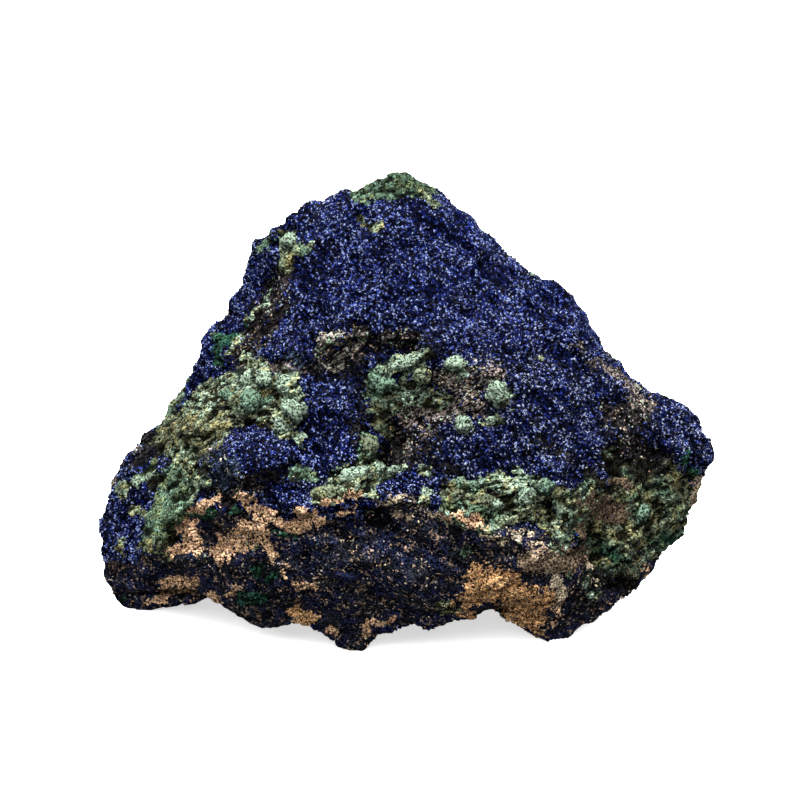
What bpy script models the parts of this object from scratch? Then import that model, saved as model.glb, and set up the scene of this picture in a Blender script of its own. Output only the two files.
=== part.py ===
"""Azurite specimen: one lump of azurite, malachite and brown matrix that grew together, 120 mm wide.

The whole specimen is one piece, so it is one closed solid. Its form is made in four steps. A cage of
corners gives the main faces, crests, ledges and hollows. Named lumps are raised on it, named pits are
sunk into it, and a fractal roughness crumbles all of it. Each step slides the surface along one family
of straight lines, away from the middle of the lump or towards the eye of the chart, by an amount that
changes slowly along them, so the surface can't cross itself.

Lengths are in millimetres and become Blender's metres at the very end. The origin is on the surface
that the specimen stands on, under the middle of its box. +Z is up, and the crystal face looks along -Y.
"""

import bmesh
import bpy
import numpy as np

NODE_NAME = "azurite_specimen"
MM = 0.001

# ---------------------------------------------------------------------------------------------------
# The cage: the corners of the main faces. CENTRE is the middle that distances are measured from.
# ---------------------------------------------------------------------------------------------------
CENTRE = (0.0, 2.0, 34.0)

CROWN = [(-3.5, 6, 87), (-10.5, 6, 83.5), (3.5, 5, 84)]
# The outline against the sky, from the crown down the left flank to the left foot.
LEFT_OUTLINE = [
    (-20.5, 4, 81), (-29, 6, 74), (-33, 8, 65.5), (-35.5, 9, 58.5), (-39.5, 9, 52.5), (-41.5, 8, 47.5),
    (-49, 8, 36.5), (-56.5, 6, 28), (-60, 5, 19.5), (-61.5, 2, 10.5), (-58.5, 0, 3.5), (-54, 0, -1.5),
]
# The lower edge of the front: it arches from the left foot to the nub, and on to the right foot.
FRONT_HEM = [
    (-50.5, -7, 7.5), (-44.5, -11, 10.5), (-40.5, -15, 10.5), (-35, -18, 6), (-30.5, -20, 4), (-21, -23.5, 4),
    (-17.5, -24, 4), (-10, -23.5, -1), (-5.5, -25, 3), (0, -26.5, 5.5), (4.5, -27, 6), (14.5, -27, 7.5),
    (17.5, -26.5, 9), (20.5, -25, 11), (24, -23, 6.5), (29.5, -18.5, -2.5), (33.5, -16, 2), (38, -14, 3.5),
]
# The right flank, from its underside up to the tip and along the crest to the crown.
RIGHT_OUTLINE = [
    (46, -8, 9.5), (55, -2, 17), (57, 0, 22.5), (60, 2, 28.5), (61.5, 3, 32.5), (58, 5, 37),
    (51.5, 5, 41), (46, 5, 43.5), (39.5, 6, 50), (35, 6, 56), (32.5, 6, 60.5), (28, 6, 65),
    (23.5, 6, 66), (18, 6, 71.5), (12, 6, 78),
]
# The large crystal-covered face, which leans back from the hollow to the crown and runs down to the right.
CRYSTAL_FACE = [
    (-11, 0, 81.5), (3.5, 1, 82), (-19.5, -4, 73), (-7, -9, 73), (6, -7, 72.5), (17.5, -5, 66),
    (-21.5, -9, 63), (-11, -16, 64), (4, -17, 63), (19.5, -15, 58.5), (31.5, -5, 58.5), (-24.5, -15, 57),
    (-15.5, -20, 61), (4, -25, 57.5), (17, -26, 53), (28.5, -21, 48.5), (39, -8, 49), (45.5, -9, 41.5),
    (54, -5, 36.5), (24.5, -29, 41), (36.5, -21, 37), (28, -33, 35), (37, -26, 32), (17, -31, 39),
]
# The dark strip at its left edge, and the blue face round the corner from it.
LEFT_CREST = [(-27, 0, 75), (-23.5, -5, 66), (-30, -2, 55.5), (-32, -8, 49), (-36, 4, 53), (-38, 0, 46)]
# The malachite flank, with a ridge that runs down to the left and a trough behind it.
LEFT_FLANK = [
    (-31, -14, 46), (-20, -19, 53), (-43, -8, 39.5), (-33.5, -19, 40.5), (-20, -22, 43), (-48, -7, 31),
    (-38, -21, 35), (-42, -22, 28.5), (-49, -19, 18.5), (-38, -20.5, 22), (-53, -4, 24), (-55, -7, 14.5),
]
# The floor of the hollow under the crystal face.
HOLLOW = [
    (-11.5, -19, 51), (-1.5, -20, 52.5), (6, -22, 47), (13.5, -27, 45.5), (-2.5, -20, 40.5),
    (-13.5, -23, 43.5), (-4, -22, 35), (-31.5, -26, 38.5), (-20, -27, 37.5),
]
# The ledge below the hollow, and the steep dark face that drops from it.
LEDGE = [
    (-36, -25, 29), (-29, -31, 33), (-20, -33, 31), (-10.5, -34, 33.5), (-1.5, -34, 33), (6, -35, 33),
    (13.5, -36, 29), (22.5, -35, 24.5), (30.5, -32, 23), (40.5, -20, 16.5), (48, -10, 16),
]
LOWER_FACE = [
    (-49.5, -14, 10.5), (-39.5, -22, 17.5), (-29.5, -28, 18.5), (-20, -31, 18.5), (-9, -33, 19),
    (2.5, -33, 19), (13.5, -32, 17), (26, -30, 13), (34.5, -23, 12),
]
RIGHT_RECESS = [
    (36.5, -21, 25), (44.5, -14, 27), (52.5, -5, 21), (48, -9, 32.5), (41.5, -17, 21), (29.5, -29, 27.5),
    (21, -32, 32.5),
]
# The back: two steep faces that meet in a crest under the crown, over a thick lower rim.
BACK = [
    (2, 16, 82), (-22, 17, 68), (20, 18, 68), (34, 16, 52), (50, 13, 38), (-40, 17, 46), (-52, 15, 27),
    (0, 30, 55), (-24, 32, 45), (24, 32, 46), (2, 38, 30), (-32, 36, 24), (33, 35, 26), (50, 23, 22),
    (0, 38, 10), (-28, 36, 6), (28, 35, 8), (-46, 22, 6), (48, 16, 9), (58, 8, 26), (-57, 9, 12),
]
# The underside, and the two feet at the back. A foot's corner lies under the floor, which cuts it flat.
UNDERSIDE = [
    (-27, 30, -2), (24, 29, -2), (0, 0, 5), (-32, -7, 7.5), (-45, -3, 8.5), (30, -2, 5), (13, -14, 8),
    (0, 28, 4), (-42, 14, 3), (42, 6, 8), (-10, 12, 4), (15, 14, 4), (52, 0, 18), (-22, -16, 9),
    (-13, -17, 8.5), (-4, -17, 8.5),
]
CAGE = (
    CROWN + LEFT_OUTLINE + FRONT_HEM + RIGHT_OUTLINE + CRYSTAL_FACE + LEFT_CREST + LEFT_FLANK
    + HOLLOW + LEDGE + LOWER_FACE + RIGHT_RECESS + BACK + UNDERSIDE
)
EDGE_WANDER = 0.035  # how far the cage's edges stray from straight, as a share of their distance
EDGE_WANDER_WAVE = 0.16
EDGE_WANDER_SEEDS = (11, 22, 33)

# ---------------------------------------------------------------------------------------------------
# Lumps and pits on the front. They are placed on a chart, the plane through the middle of the lump that
# sight lines from an eye in front of it and a little above meet squarely. Each is a straight stroke: its
# two ends on the chart, its half width, and how far it moves towards the eye or away from it. A round
# one has equal ends.
# ---------------------------------------------------------------------------------------------------
CHART_MIDDLE = (-1.4, 0.0, 43.0)
CHART_DISTANCE = 560.0
CHART_TILT = np.radians(15.0)
CHART_REACH = (-2.0, 16.0)  # the strokes fade out between these distances behind the middle, along Y
CHART_WANDER = (5.0, 1.0)  # wave and depth of the wander that keeps the strokes' edges from being straight
CHART_WANDER_SEEDS = (44, 55)
# How steep the strokes' sides are: under 1 a stroke is a round-topped knob, and over 1 it fades out softly.
SWELLING_STEEPNESS, KNOB_STEEPNESS, PIT_STEEPNESS, BACK_STEEPNESS = 2.0, 0.8, 1.2, 1.5

# Broad swellings with soft edges.
SWELLINGS = [
    ((-19.5, 12), (-10.5, 12.5), 2.5, 1.5),  # lip at the foot of the crystal face
    ((6, 9.5), (19.5, 4.5), 2.5, 1.2),  # lip over the right of the hollow
    ((-24.5, 0), (-29.5, 1), 8, 2),  # under the malachite knobs
    ((-41.5, -13.5), (-47, -28.5), 2.5, 3.5),  # ridge of malachite down the left
    ((-41, -6), (-31, -5), 2.5, 2),  # shelf at the top of that ridge
    ((-31, -18), (-19.5, -21), 1.5, 1.5),  # rim of the ledge, in four stretches
    ((-19.5, -21), (-10, -19.5), 1.5, 1.5),
    ((-10, -19.5), (6, -20), 1.5, 1.2),
    ((8, -20.5), (19.5, -26.5), 1.5, 1.5),
    ((19.5, -37), (29.5, -40), 4.5, 2),  # ochre mass over the right foot
    ((31, 22), (31, 22), 3, 1.5),  # knoll on the right crest
    ((-37, 10.5), (-34.5, 12.5), 2.5, 2),  # lump on the left flank
    ((-57.5, -26.5), (-55.5, -36), 4.5, 2),  # toe of the left flank
    ((8, 36), (37, 8), 2, 1.3),  # crest between the crystal face and the right facet
    ((37, 8), (51.5, -6), 2, 1.2),
    ((-23.5, 19.5), (-30, 5), 2, 1.2),  # crest of the dark strip
    ((-29.5, 31), (-19.5, 36), 2.5, 1.2),  # left shoulder
    ((41, -39.5), (51, -31), 2, 2),  # rib along the lower right
    ((-2, 42.5), (-2, 42.5), 5, 2),  # crown
    ((58.5, -8), (56.5, -13.5), 2.5, 1.5),  # right tip
    ((39, -8), (27.5, -15.5), 3.5, 1.5),  # apron of the crystal face
    ((-13.5, -31), (4, -37), 4.5, 1.2),  # belly of the lower face
]
# Knobs with steep sides: balls and slabs of malachite, and masses of azurite.
KNOBS = [
    ((-34, -10.5), (-27, -12.5), 5, 4.5),  # azurite mass at the left end of the hollow
    ((-24.5, -9.5), (-19, -10.5), 2.5, 2.5),
    ((-12.5, -1.5), (-10.5, -10), 4.5, 4),  # azurite column in the hollow
    ((-13.5, -14), (-19.5, -15), 2.5, 2),
    ((-4, 3.5), (-4, 3.5), 3, 3.4),  # malachite ball under the lip
    ((-20.5, -2), (-20.5, -2), 2.5, 2.8),  # malachite knobs left of the column
    ((-23, -5.5), (-23, -5.5), 2, 2.4),
    ((-19.5, -7.5), (-19.5, -7.5), 1.5, 1.5),
    ((-31, 4), (-31, 4), 2.5, 2.2),
    ((-27, 4.5), (-27, 4.5), 2, 1.8),
    ((-29.5, -0.5), (-29.5, -0.5), 2.5, 2),
    ((-22, 2.5), (-22, 2.5), 2, 1.8),
    ((-5.5, -10), (-5.5, -10), 2, 2.2),  # malachite knobs in the hollow
    ((-14.5, -18), (-14.5, -18), 2, 2.2),
    ((12.5, -5.5), (12.5, -5.5), 1.5, 2.2),
    ((18, -4), (18, -4), 1, 1.2),
    ((11, 7), (11, 7), 2, 2),
    ((19.5, 1), (19.5, 1), 2.3, 3.2),
    ((4.5, 5), (4.5, 5), 2, 1.5),
    ((-1.5, 6), (6, 9), 2, 2),
    ((-10.5, -17), (-3.5, -14), 2, 3),  # malachite on the ledge
    ((3, -17), (8, -16), 1.5, 1.5),
    ((24.5, -19.5), (24.5, -19.5), 2.2, 2.4),
    ((22, -17), (22, -17), 2, 1.8),
    ((15.5, -21), (15.5, -21), 2.5, 1.8),
    ((28.5, -17.5), (28.5, -17.5), 1.5, 1.2),
    ((33, -20.5), (31, -27), 1.6, 3),  # standing slab of malachite
    ((28.5, -31), (28.5, -31), 3.5, 2.5),  # tan lump
    ((-20.5, -19), (-20.5, -19), 2, 1.5),  # azurite ball
]
PITS = [
    ((-9, 10.5), (3, 10), 2, 5),  # hole under the lip of the crystal face
    ((0, -8), (-1.5, -13.5), 2.5, 3),  # gap behind the ledge
    ((-11.5, 6.5), (-11.5, 6.5), 2, 2),
    ((10.5, -13.5), (13.5, -10.5), 2.5, 1.5),
    ((-36, -18.5), (-33, -19.5), 1.5, 2),
    ((-45.5, -25), (-45.5, -25), 2, 4),  # pit in the malachite ridge
    ((-5, -23), (0.5, -24), 2, 5),  # hole in the lower face
    ((7, -22.5), (7, -26), 1, 3),  # slot beside it
    ((41, -10.5), (50.5, -12.5), 2.5, 3),  # hollow in the right flank
    ((48, -13.5), (48, -13.5), 2, 2),
    ((56.5, -17), (56.5, -17), 1, 1.5),
    ((39, -37), (52.5, -28.5), 1, 2),  # crack over the rib
    ((22, -41), (22, -41), 2, 3),  # arch by the right foot
]

# ---------------------------------------------------------------------------------------------------
# Lumps round the back and sides, as strokes between points in space.
# ---------------------------------------------------------------------------------------------------
BACK_LUMPS = [
    ((-14, 24, 66), (-26, 26, 52), 5, 2.5),  # crest down the back
    ((14, 27, 60), (30, 27, 48), 6, 2),
    ((-8, 37, 34), (10, 38, 26), 7, 2.5),
    ((-34, 34, 26), (-42, 28, 14), 6, 2.5),
    ((36, 32, 22), (44, 26, 12), 6, 2.5),
    ((54, 10, 36), (60, 6, 28), 4, 2),
    ((-50, 14, 34), (-56, 10, 22), 5, 2.5),
    ((-12, 38, 12), (14, 38, 8), 5, 1.5),
    ((4, 18, 78), (16, 18, 68), 4, 1.5),
]
BACK_PITS = [
    ((-6, 31, 46), (8, 34, 40), 4, 2.5),
    ((22, 34, 34), (26, 33, 26), 4, 2.5),
    ((-24, 36, 34), (-20, 37, 22), 4, 2.5),
    ((-40, 20, 36), (-46, 20, 30), 3, 2),
    ((42, 22, 34), (48, 20, 30), 4, 2),
    ((0, 26, 62), (6, 26, 60), 3, 1.5),
]

# ---------------------------------------------------------------------------------------------------
# Roughness: (wave, depth, octaves, seed) in millimetres.
# ---------------------------------------------------------------------------------------------------
HEAVES = (15.0, 1.1, 3, 101)
CRUMBLE = (5.5, 0.8, 2, 202)
STRATA = (4.0, 0.8, 2, 303)  # flat-lying layers in the lower face, which fade out upwards
STRATA_STRETCH = (0.3, 0.3, 1.0)
STRATA_TOP = 30.0
STRATA_FADE = 8.0

# The middle of the finished lump's box, which the origin goes under.
BOX_MIDDLE = (-0.3, 1.2, 0.0)
FOOT_PRESS = 0.35  # points this near the floor are pressed flat onto it

GRID_CUTS = 95  # cuts along each edge of the starting cube
FRONT_PULL = (0.0, -0.3, 0.05)  # moves grid points towards the front, where the small forms are
MOST_TRIANGLES = 9500
SHARP_ANGLE = np.radians(35)  # edges that turn by more than this are drawn sharp

CRUST_BLUE = (0.02, 0.03, 0.14, 1.0)
CRUST_ROUGHNESS = 0.55


def cell_value(cell, seed):
    """A repeatable number from 0 to 1 for each whole-number cell, by mixing the bits of its indices."""
    x, y, z = (cell[..., i].astype(np.int64) for i in range(3))
    mixed = (x * 374761393 + y * 668265263 + z * 2147483647 + seed * 1442695041) & 0xFFFFFFFF
    mixed = ((mixed ^ (mixed >> 13)) * 1274126177) & 0xFFFFFFFF
    mixed = ((mixed ^ (mixed >> 16)) * 2246822519) & 0xFFFFFFFF
    return (mixed ^ (mixed >> 15)) / 4294967296.0


def noise(points, seed):
    """Smooth noise from -1 to 1: the values of the eight cells round a point, eased into each other."""
    cell = np.floor(points)
    share = points - cell
    share = share**3 * (share * (share * 6 - 15) + 10)
    total = 0.0
    for corner in np.ndindex(2, 2, 2):
        weight = np.prod(np.where(corner, share, 1 - share), axis=-1)
        total = total + weight * cell_value(cell + corner, seed)
    return total * 2 - 1


def fractal(points, wave, octaves, seed):
    """Noise on noise: each octave is half as strong as the last, twice as fine, and turned."""
    turn = np.array([[0.36, 0.48, -0.8], [-0.8, 0.6, 0.0], [0.48, 0.64, 0.6]])
    place, total, strength = points / wave, 0.0, 1.0
    for octave in range(octaves):
        total = total + strength * noise(place, seed + octave)
        place = place @ turn.T * 2.03 + 7.1
        strength /= 2
    return total


def stroke_distance(points, start, end):
    """Distance from each point to the straight stroke from start to end, on the chart or in space."""
    start, end = np.array(start, float), np.array(end, float)
    along = end - start
    share = np.clip((points - start) @ along / max(along @ along, 1e-9), 0, 1)
    return np.linalg.norm(points - start - share[:, None] * along, axis=1)


def raised(points, strokes, steepness):
    """Sum of the strokes' heights, each (1 - (distance / half width)^2) ^ steepness within its width."""
    total = np.zeros(len(points))
    for start, end, half_width, height in strokes:
        share = stroke_distance(points, start, end) / half_width
        total += height * np.clip(1 - share**2, 0, None) ** steepness
    return total


def moved_on_sight_lines(points):
    """The points after the front's swellings, knobs and pits have moved them along their sight lines.

    A sight line runs from the eye through the point, and meets the chart a number of millimetres across
    and up, which is where the strokes are laid out.
    """
    across = np.array([1.0, 0.0, 0.0])
    ahead = np.array([0.0, np.cos(CHART_TILT), -np.sin(CHART_TILT)])
    up = np.cross(across, ahead)
    from_eye = points - (np.array(CHART_MIDDLE) - CHART_DISTANCE * ahead)
    scale = CHART_DISTANCE / (from_eye @ ahead)
    chart = np.stack([scale * (from_eye @ across), scale * (from_eye @ up)], axis=1)
    wave, depth = CHART_WANDER
    wander = [fractal(points, wave, 3, seed) for seed in CHART_WANDER_SEEDS]
    chart += depth * np.stack(wander, axis=1)
    nearer = raised(chart, SWELLINGS, SWELLING_STEEPNESS) + raised(chart, KNOBS, KNOB_STEEPNESS)
    nearer -= raised(chart, PITS, PIT_STEEPNESS)
    nearer *= 1 - eased(points[:, 1], *CHART_REACH)
    return points - nearer[:, None] * unit(from_eye)


def eased(value, low, high):
    """0 below low, 1 above high, and a smooth step between them."""
    share = np.clip((value - low) / (high - low), 0, 1)
    return share * share * (3 - 2 * share)


def cage_faces(directions):
    """The triangles between the cage's corners: the convex hull of the corners' directions."""
    hull = bmesh.new()
    for direction in directions:
        hull.verts.new(direction)
    bmesh.ops.convex_hull(hull, input=hull.verts)
    hull.verts.index_update()
    faces = np.array([[vert.index for vert in face.verts] for face in hull.faces])
    hull.free()
    return faces


def cage_radius(directions):
    """Distance from CENTRE to the cage along each direction, in the triangle whose corners enclose it."""
    corners = np.array(CAGE) - CENTRE
    faces = cage_faces(corners / np.linalg.norm(corners, axis=1, keepdims=True))
    to_corners = np.linalg.inv(corners[faces].transpose(0, 2, 1))
    shares = np.einsum("tij,nj->nti", to_corners, directions)
    inside = (shares.min(axis=2) / np.abs(shares).sum(axis=2)).argmax(axis=1)
    return 1 / shares[np.arange(len(directions)), inside].sum(axis=1)


def unit(vectors):
    return vectors / np.linalg.norm(vectors, axis=1, keepdims=True)


def specimen_points(directions):
    """Where the surface lies along each direction from CENTRE, in millimetres."""
    wander = [fractal(directions, EDGE_WANDER_WAVE, 3, seed) for seed in EDGE_WANDER_SEEDS]
    radius = cage_radius(unit(directions + EDGE_WANDER * np.stack(wander, axis=1)))
    base = CENTRE + radius[:, None] * directions
    radius += raised(base, BACK_LUMPS, BACK_STEEPNESS) - raised(base, BACK_PITS, BACK_STEEPNESS)

    for wave, depth, octaves, seed in (HEAVES, CRUMBLE):
        radius += depth * fractal(base, wave, octaves, seed)
    wave, depth, octaves, seed = STRATA
    low = 1 - eased(base[:, 2], STRATA_TOP, STRATA_TOP + STRATA_FADE)
    radius += low * depth * fractal(base * STRATA_STRETCH, wave, octaves, seed)

    points = moved_on_sight_lines(CENTRE + radius[:, None] * directions)
    return np.where(points[:, 2:] < 0, cut_by_floor(points), points)


def cut_by_floor(points):
    """Points under the floor, drawn back to it along their directions from CENTRE."""
    centre = np.array(CENTRE)
    share = centre[2] / np.maximum(centre[2] - points[:, 2:], 1e-6)
    cut = centre + (points - centre) * share
    cut[:, 2] = 0.0
    return cut


def coordinates(mesh):
    """The mesh's vertices as an array with one row each."""
    flat = np.empty(len(mesh.vertices) * 3)
    mesh.vertices.foreach_get("co", flat)
    return flat.reshape(-1, 3)


def cube_grid():
    """A cube whose six sides are grids, as bmesh: its points become the directions."""
    grid = bmesh.new()
    bmesh.ops.create_cube(grid, size=2.0)
    bmesh.ops.subdivide_edges(grid, edges=grid.edges, cuts=GRID_CUTS, use_grid_fill=True)
    return grid


def crust_material():
    """Dull dark blue, the colour that most of the crust has from a distance."""
    material = bpy.data.materials.new("azurite_crust")
    material.use_nodes = True
    shader = material.node_tree.nodes["Principled BSDF"]
    shader.inputs["Base Color"].default_value = CRUST_BLUE
    shader.inputs["Roughness"].default_value = CRUST_ROUGHNESS
    shader.inputs["Metallic"].default_value = 0.0
    return material


def thinned(mesh):
    """A copy of the mesh with its flat stretches thinned out, and its feet pressed flat on the floor."""
    full = bpy.data.objects.new("full_grid", mesh)
    bpy.context.scene.collection.objects.link(full)
    collapse = full.modifiers.new("collapse", "DECIMATE")
    collapse.ratio = MOST_TRIANGLES / (2 * len(mesh.polygons))
    thin = bpy.data.meshes.new_from_object(full.evaluated_get(bpy.context.evaluated_depsgraph_get()))
    bpy.data.objects.remove(full)
    bpy.data.meshes.remove(mesh)

    points = coordinates(thin)
    points[points[:, 2] < FOOT_PRESS * MM, 2] = 0.0
    thin.vertices.foreach_set("co", points.ravel())
    thin.name = NODE_NAME
    return thin


def build_specimen():
    """The cube grid blown out to the specimen's surface, then thinned."""
    grid = cube_grid()
    full = bpy.data.meshes.new("full_grid")
    grid.to_mesh(full)
    grid.free()
    directions = unit(np.tan(coordinates(full) * np.pi / 4))
    directions = unit(directions + FRONT_PULL)
    points = (specimen_points(directions) - BOX_MIDDLE) * MM
    full.vertices.foreach_set("co", points.ravel())
    full.update()

    mesh = thinned(full)
    mesh.shade_smooth()
    mesh.set_sharp_from_angle(angle=SHARP_ANGLE)
    mesh.materials.append(crust_material())
    specimen = bpy.data.objects.new(NODE_NAME, mesh)
    bpy.context.scene.collection.objects.link(specimen)


for leftover in list(bpy.data.objects):
    bpy.data.objects.remove(leftover)
build_specimen()
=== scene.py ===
"""Azurite specimen: a lump of azurite, malachite and brown matrix, 12 cm wide, standing on its own feet.

Lengths are in millimetres until a mesh is made. The origin is on the floor under the lump, +Z is up, and
the crystal face looks along -Y.
"""

import bmesh
import bpy
import numpy as np
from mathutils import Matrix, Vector


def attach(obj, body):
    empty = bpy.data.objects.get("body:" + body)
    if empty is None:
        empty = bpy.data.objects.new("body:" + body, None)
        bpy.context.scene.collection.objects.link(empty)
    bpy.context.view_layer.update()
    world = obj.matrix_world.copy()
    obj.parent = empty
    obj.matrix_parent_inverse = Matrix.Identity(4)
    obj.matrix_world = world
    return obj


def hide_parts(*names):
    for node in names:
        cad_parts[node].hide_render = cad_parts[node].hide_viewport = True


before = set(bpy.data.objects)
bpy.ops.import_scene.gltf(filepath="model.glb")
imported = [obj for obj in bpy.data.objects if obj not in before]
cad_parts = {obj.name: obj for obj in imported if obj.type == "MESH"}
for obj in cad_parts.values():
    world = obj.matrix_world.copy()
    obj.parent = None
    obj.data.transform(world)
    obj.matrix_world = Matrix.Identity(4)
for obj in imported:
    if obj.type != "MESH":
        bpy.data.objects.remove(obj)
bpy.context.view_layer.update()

# ---------------------------------------------------------------------------------------------------
# THE LUMP. One intergrown mass of blue azurite, green malachite, rusty limonite and dark matrix. Its
# surface is the same cage, lumps and pits as the solid it stands for, with a finer grid and a finer
# roughness that differs from mineral to mineral.
# ---------------------------------------------------------------------------------------------------
MM = 0.001

# The cage: the corners of the main faces. CENTRE is the middle that distances are measured from.
CENTRE = (0.0, 2.0, 34.0)

CROWN = [(-3.5, 6, 87), (-10.5, 6, 83.5), (3.5, 5, 84)]
# The outline against the sky, from the crown down the left flank to the left foot.
LEFT_OUTLINE = [
    (-20.5, 4, 81), (-29, 6, 74), (-33, 8, 65.5), (-35.5, 9, 58.5), (-39.5, 9, 52.5), (-41.5, 8, 47.5),
    (-49, 8, 36.5), (-56.5, 6, 28), (-60, 5, 19.5), (-61.5, 2, 10.5), (-58.5, 0, 3.5), (-54, 0, -1.5),
]
# The lower edge of the front: it arches from the left foot to the nub, and on to the right foot.
FRONT_HEM = [
    (-50.5, -7, 7.5), (-44.5, -11, 10.5), (-40.5, -15, 10.5), (-35, -18, 6), (-30.5, -20, 4),
    (-21, -23.5, 4), (-17.5, -24, 4), (-10, -23.5, -1), (-5.5, -25, 3), (0, -26.5, 5.5), (4.5, -27, 6),
    (14.5, -27, 7.5), (17.5, -26.5, 9), (20.5, -25, 11), (24, -23, 6.5), (29.5, -18.5, -2.5),
    (33.5, -16, 2), (38, -14, 3.5),
]
# The right flank, from its underside up to the tip and along the crest to the crown.
RIGHT_OUTLINE = [
    (46, -8, 9.5), (55, -2, 17), (57, 0, 22.5), (60, 2, 28.5), (61.5, 3, 32.5), (58, 5, 37),
    (51.5, 5, 41), (46, 5, 43.5), (39.5, 6, 50), (35, 6, 56), (32.5, 6, 60.5), (28, 6, 65),
    (23.5, 6, 66), (18, 6, 71.5), (12, 6, 78),
]
# The large crystal-covered face, which leans back from the hollow to the crown and runs down to the right.
CRYSTAL_FACE = [
    (-11, 0, 81.5), (3.5, 1, 82), (-19.5, -4, 73), (-7, -9, 73), (6, -7, 72.5), (17.5, -5, 66),
    (-21.5, -9, 63), (-11, -16, 64), (4, -17, 63), (19.5, -15, 58.5), (31.5, -5, 58.5), (-24.5, -15, 57),
    (-15.5, -20, 61), (4, -25, 57.5), (17, -26, 53), (28.5, -21, 48.5), (39, -8, 49), (45.5, -9, 41.5),
    (54, -5, 36.5), (24.5, -29, 41), (36.5, -21, 37), (28, -33, 35), (37, -26, 32), (17, -31, 39),
]
# The dark strip at its left edge, and the blue face round the corner from it.
LEFT_CREST = [(-27, 0, 75), (-23.5, -5, 66), (-30, -2, 55.5), (-32, -8, 49), (-36, 4, 53), (-38, 0, 46)]
# The malachite flank, with a ridge that runs down to the left and a trough behind it.
LEFT_FLANK = [
    (-31, -14, 46), (-20, -19, 53), (-43, -8, 39.5), (-33.5, -19, 40.5), (-20, -22, 43), (-48, -7, 31),
    (-38, -21, 35), (-42, -22, 28.5), (-49, -19, 18.5), (-38, -20.5, 22), (-53, -4, 24), (-55, -7, 14.5),
]
# The floor of the hollow under the crystal face.
HOLLOW = [
    (-11.5, -19, 51), (-1.5, -20, 52.5), (6, -22, 47), (13.5, -27, 45.5), (-2.5, -20, 40.5),
    (-13.5, -23, 43.5), (-4, -22, 35), (-31.5, -26, 38.5), (-20, -27, 37.5),
]
# The ledge below the hollow, and the steep dark face that drops from it.
LEDGE = [
    (-36, -25, 29), (-29, -31, 33), (-20, -33, 31), (-10.5, -34, 33.5), (-1.5, -34, 33), (6, -35, 33),
    (13.5, -36, 29), (22.5, -35, 24.5), (30.5, -32, 23), (40.5, -20, 16.5), (48, -10, 16),
]
LOWER_FACE = [
    (-49.5, -14, 10.5), (-39.5, -22, 17.5), (-29.5, -28, 18.5), (-20, -31, 18.5), (-9, -33, 19),
    (2.5, -33, 19), (13.5, -32, 17), (26, -30, 13), (34.5, -23, 12),
]
RIGHT_RECESS = [
    (36.5, -21, 25), (44.5, -14, 27), (52.5, -5, 21), (48, -9, 32.5), (41.5, -17, 21), (29.5, -29, 27.5),
    (21, -32, 32.5),
]
# The back: two steep faces that meet in a crest under the crown, over a thick lower rim.
BACK = [
    (2, 16, 82), (-22, 17, 68), (20, 18, 68), (34, 16, 52), (50, 13, 38), (-40, 17, 46), (-52, 15, 27),
    (0, 30, 55), (-24, 32, 45), (24, 32, 46), (2, 38, 30), (-32, 36, 24), (33, 35, 26), (50, 23, 22),
    (0, 38, 10), (-28, 36, 6), (28, 35, 8), (-46, 22, 6), (48, 16, 9), (58, 8, 26), (-57, 9, 12),
]
# The underside, and the two feet at the back. A foot's corner lies under the floor, which cuts it flat.
UNDERSIDE = [
    (-27, 30, -2), (24, 29, -2), (0, 0, 5), (-32, -7, 7.5), (-45, -3, 8.5), (30, -2, 5), (13, -14, 8),
    (0, 28, 4), (-42, 14, 3), (42, 6, 8), (-10, 12, 4), (15, 14, 4), (52, 0, 18), (-22, -16, 9),
    (-13, -17, 8.5), (-4, -17, 8.5),
]
CAGE = (
    CROWN + LEFT_OUTLINE + FRONT_HEM + RIGHT_OUTLINE + CRYSTAL_FACE + LEFT_CREST + LEFT_FLANK
    + HOLLOW + LEDGE + LOWER_FACE + RIGHT_RECESS + BACK + UNDERSIDE
)
EDGE_WANDER = 0.035  # how far the cage's edges stray from straight, as a share of their distance
EDGE_WANDER_WAVE = 0.16
EDGE_WANDER_SEEDS = (11, 22, 33)

# Lumps and pits on the front. They are placed on a chart, the plane through the middle of the lump that
# sight lines from an eye in front of it and a little above meet squarely. Each is a straight stroke: its
# two ends on the chart, its half width, and how far it moves towards the eye or away from it. A round
# one has equal ends.
CHART_MIDDLE = (-1.4, 0.0, 43.0)
CHART_DISTANCE = 560.0
CHART_TILT = np.radians(15.0)
CHART_REACH = (-2.0, 16.0)  # the strokes fade out between these distances behind the middle, along Y
CHART_WANDER = (5.0, 1.0)  # wave and depth of the wander that keeps the strokes' edges from being straight
CHART_WANDER_SEEDS = (44, 55)
# How steep the strokes' sides are: under 1 a stroke is a round-topped knob, and over 1 it fades out softly.
SWELLING_STEEPNESS, KNOB_STEEPNESS, PIT_STEEPNESS, BACK_STEEPNESS = 2.0, 0.8, 1.2, 1.5

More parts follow.
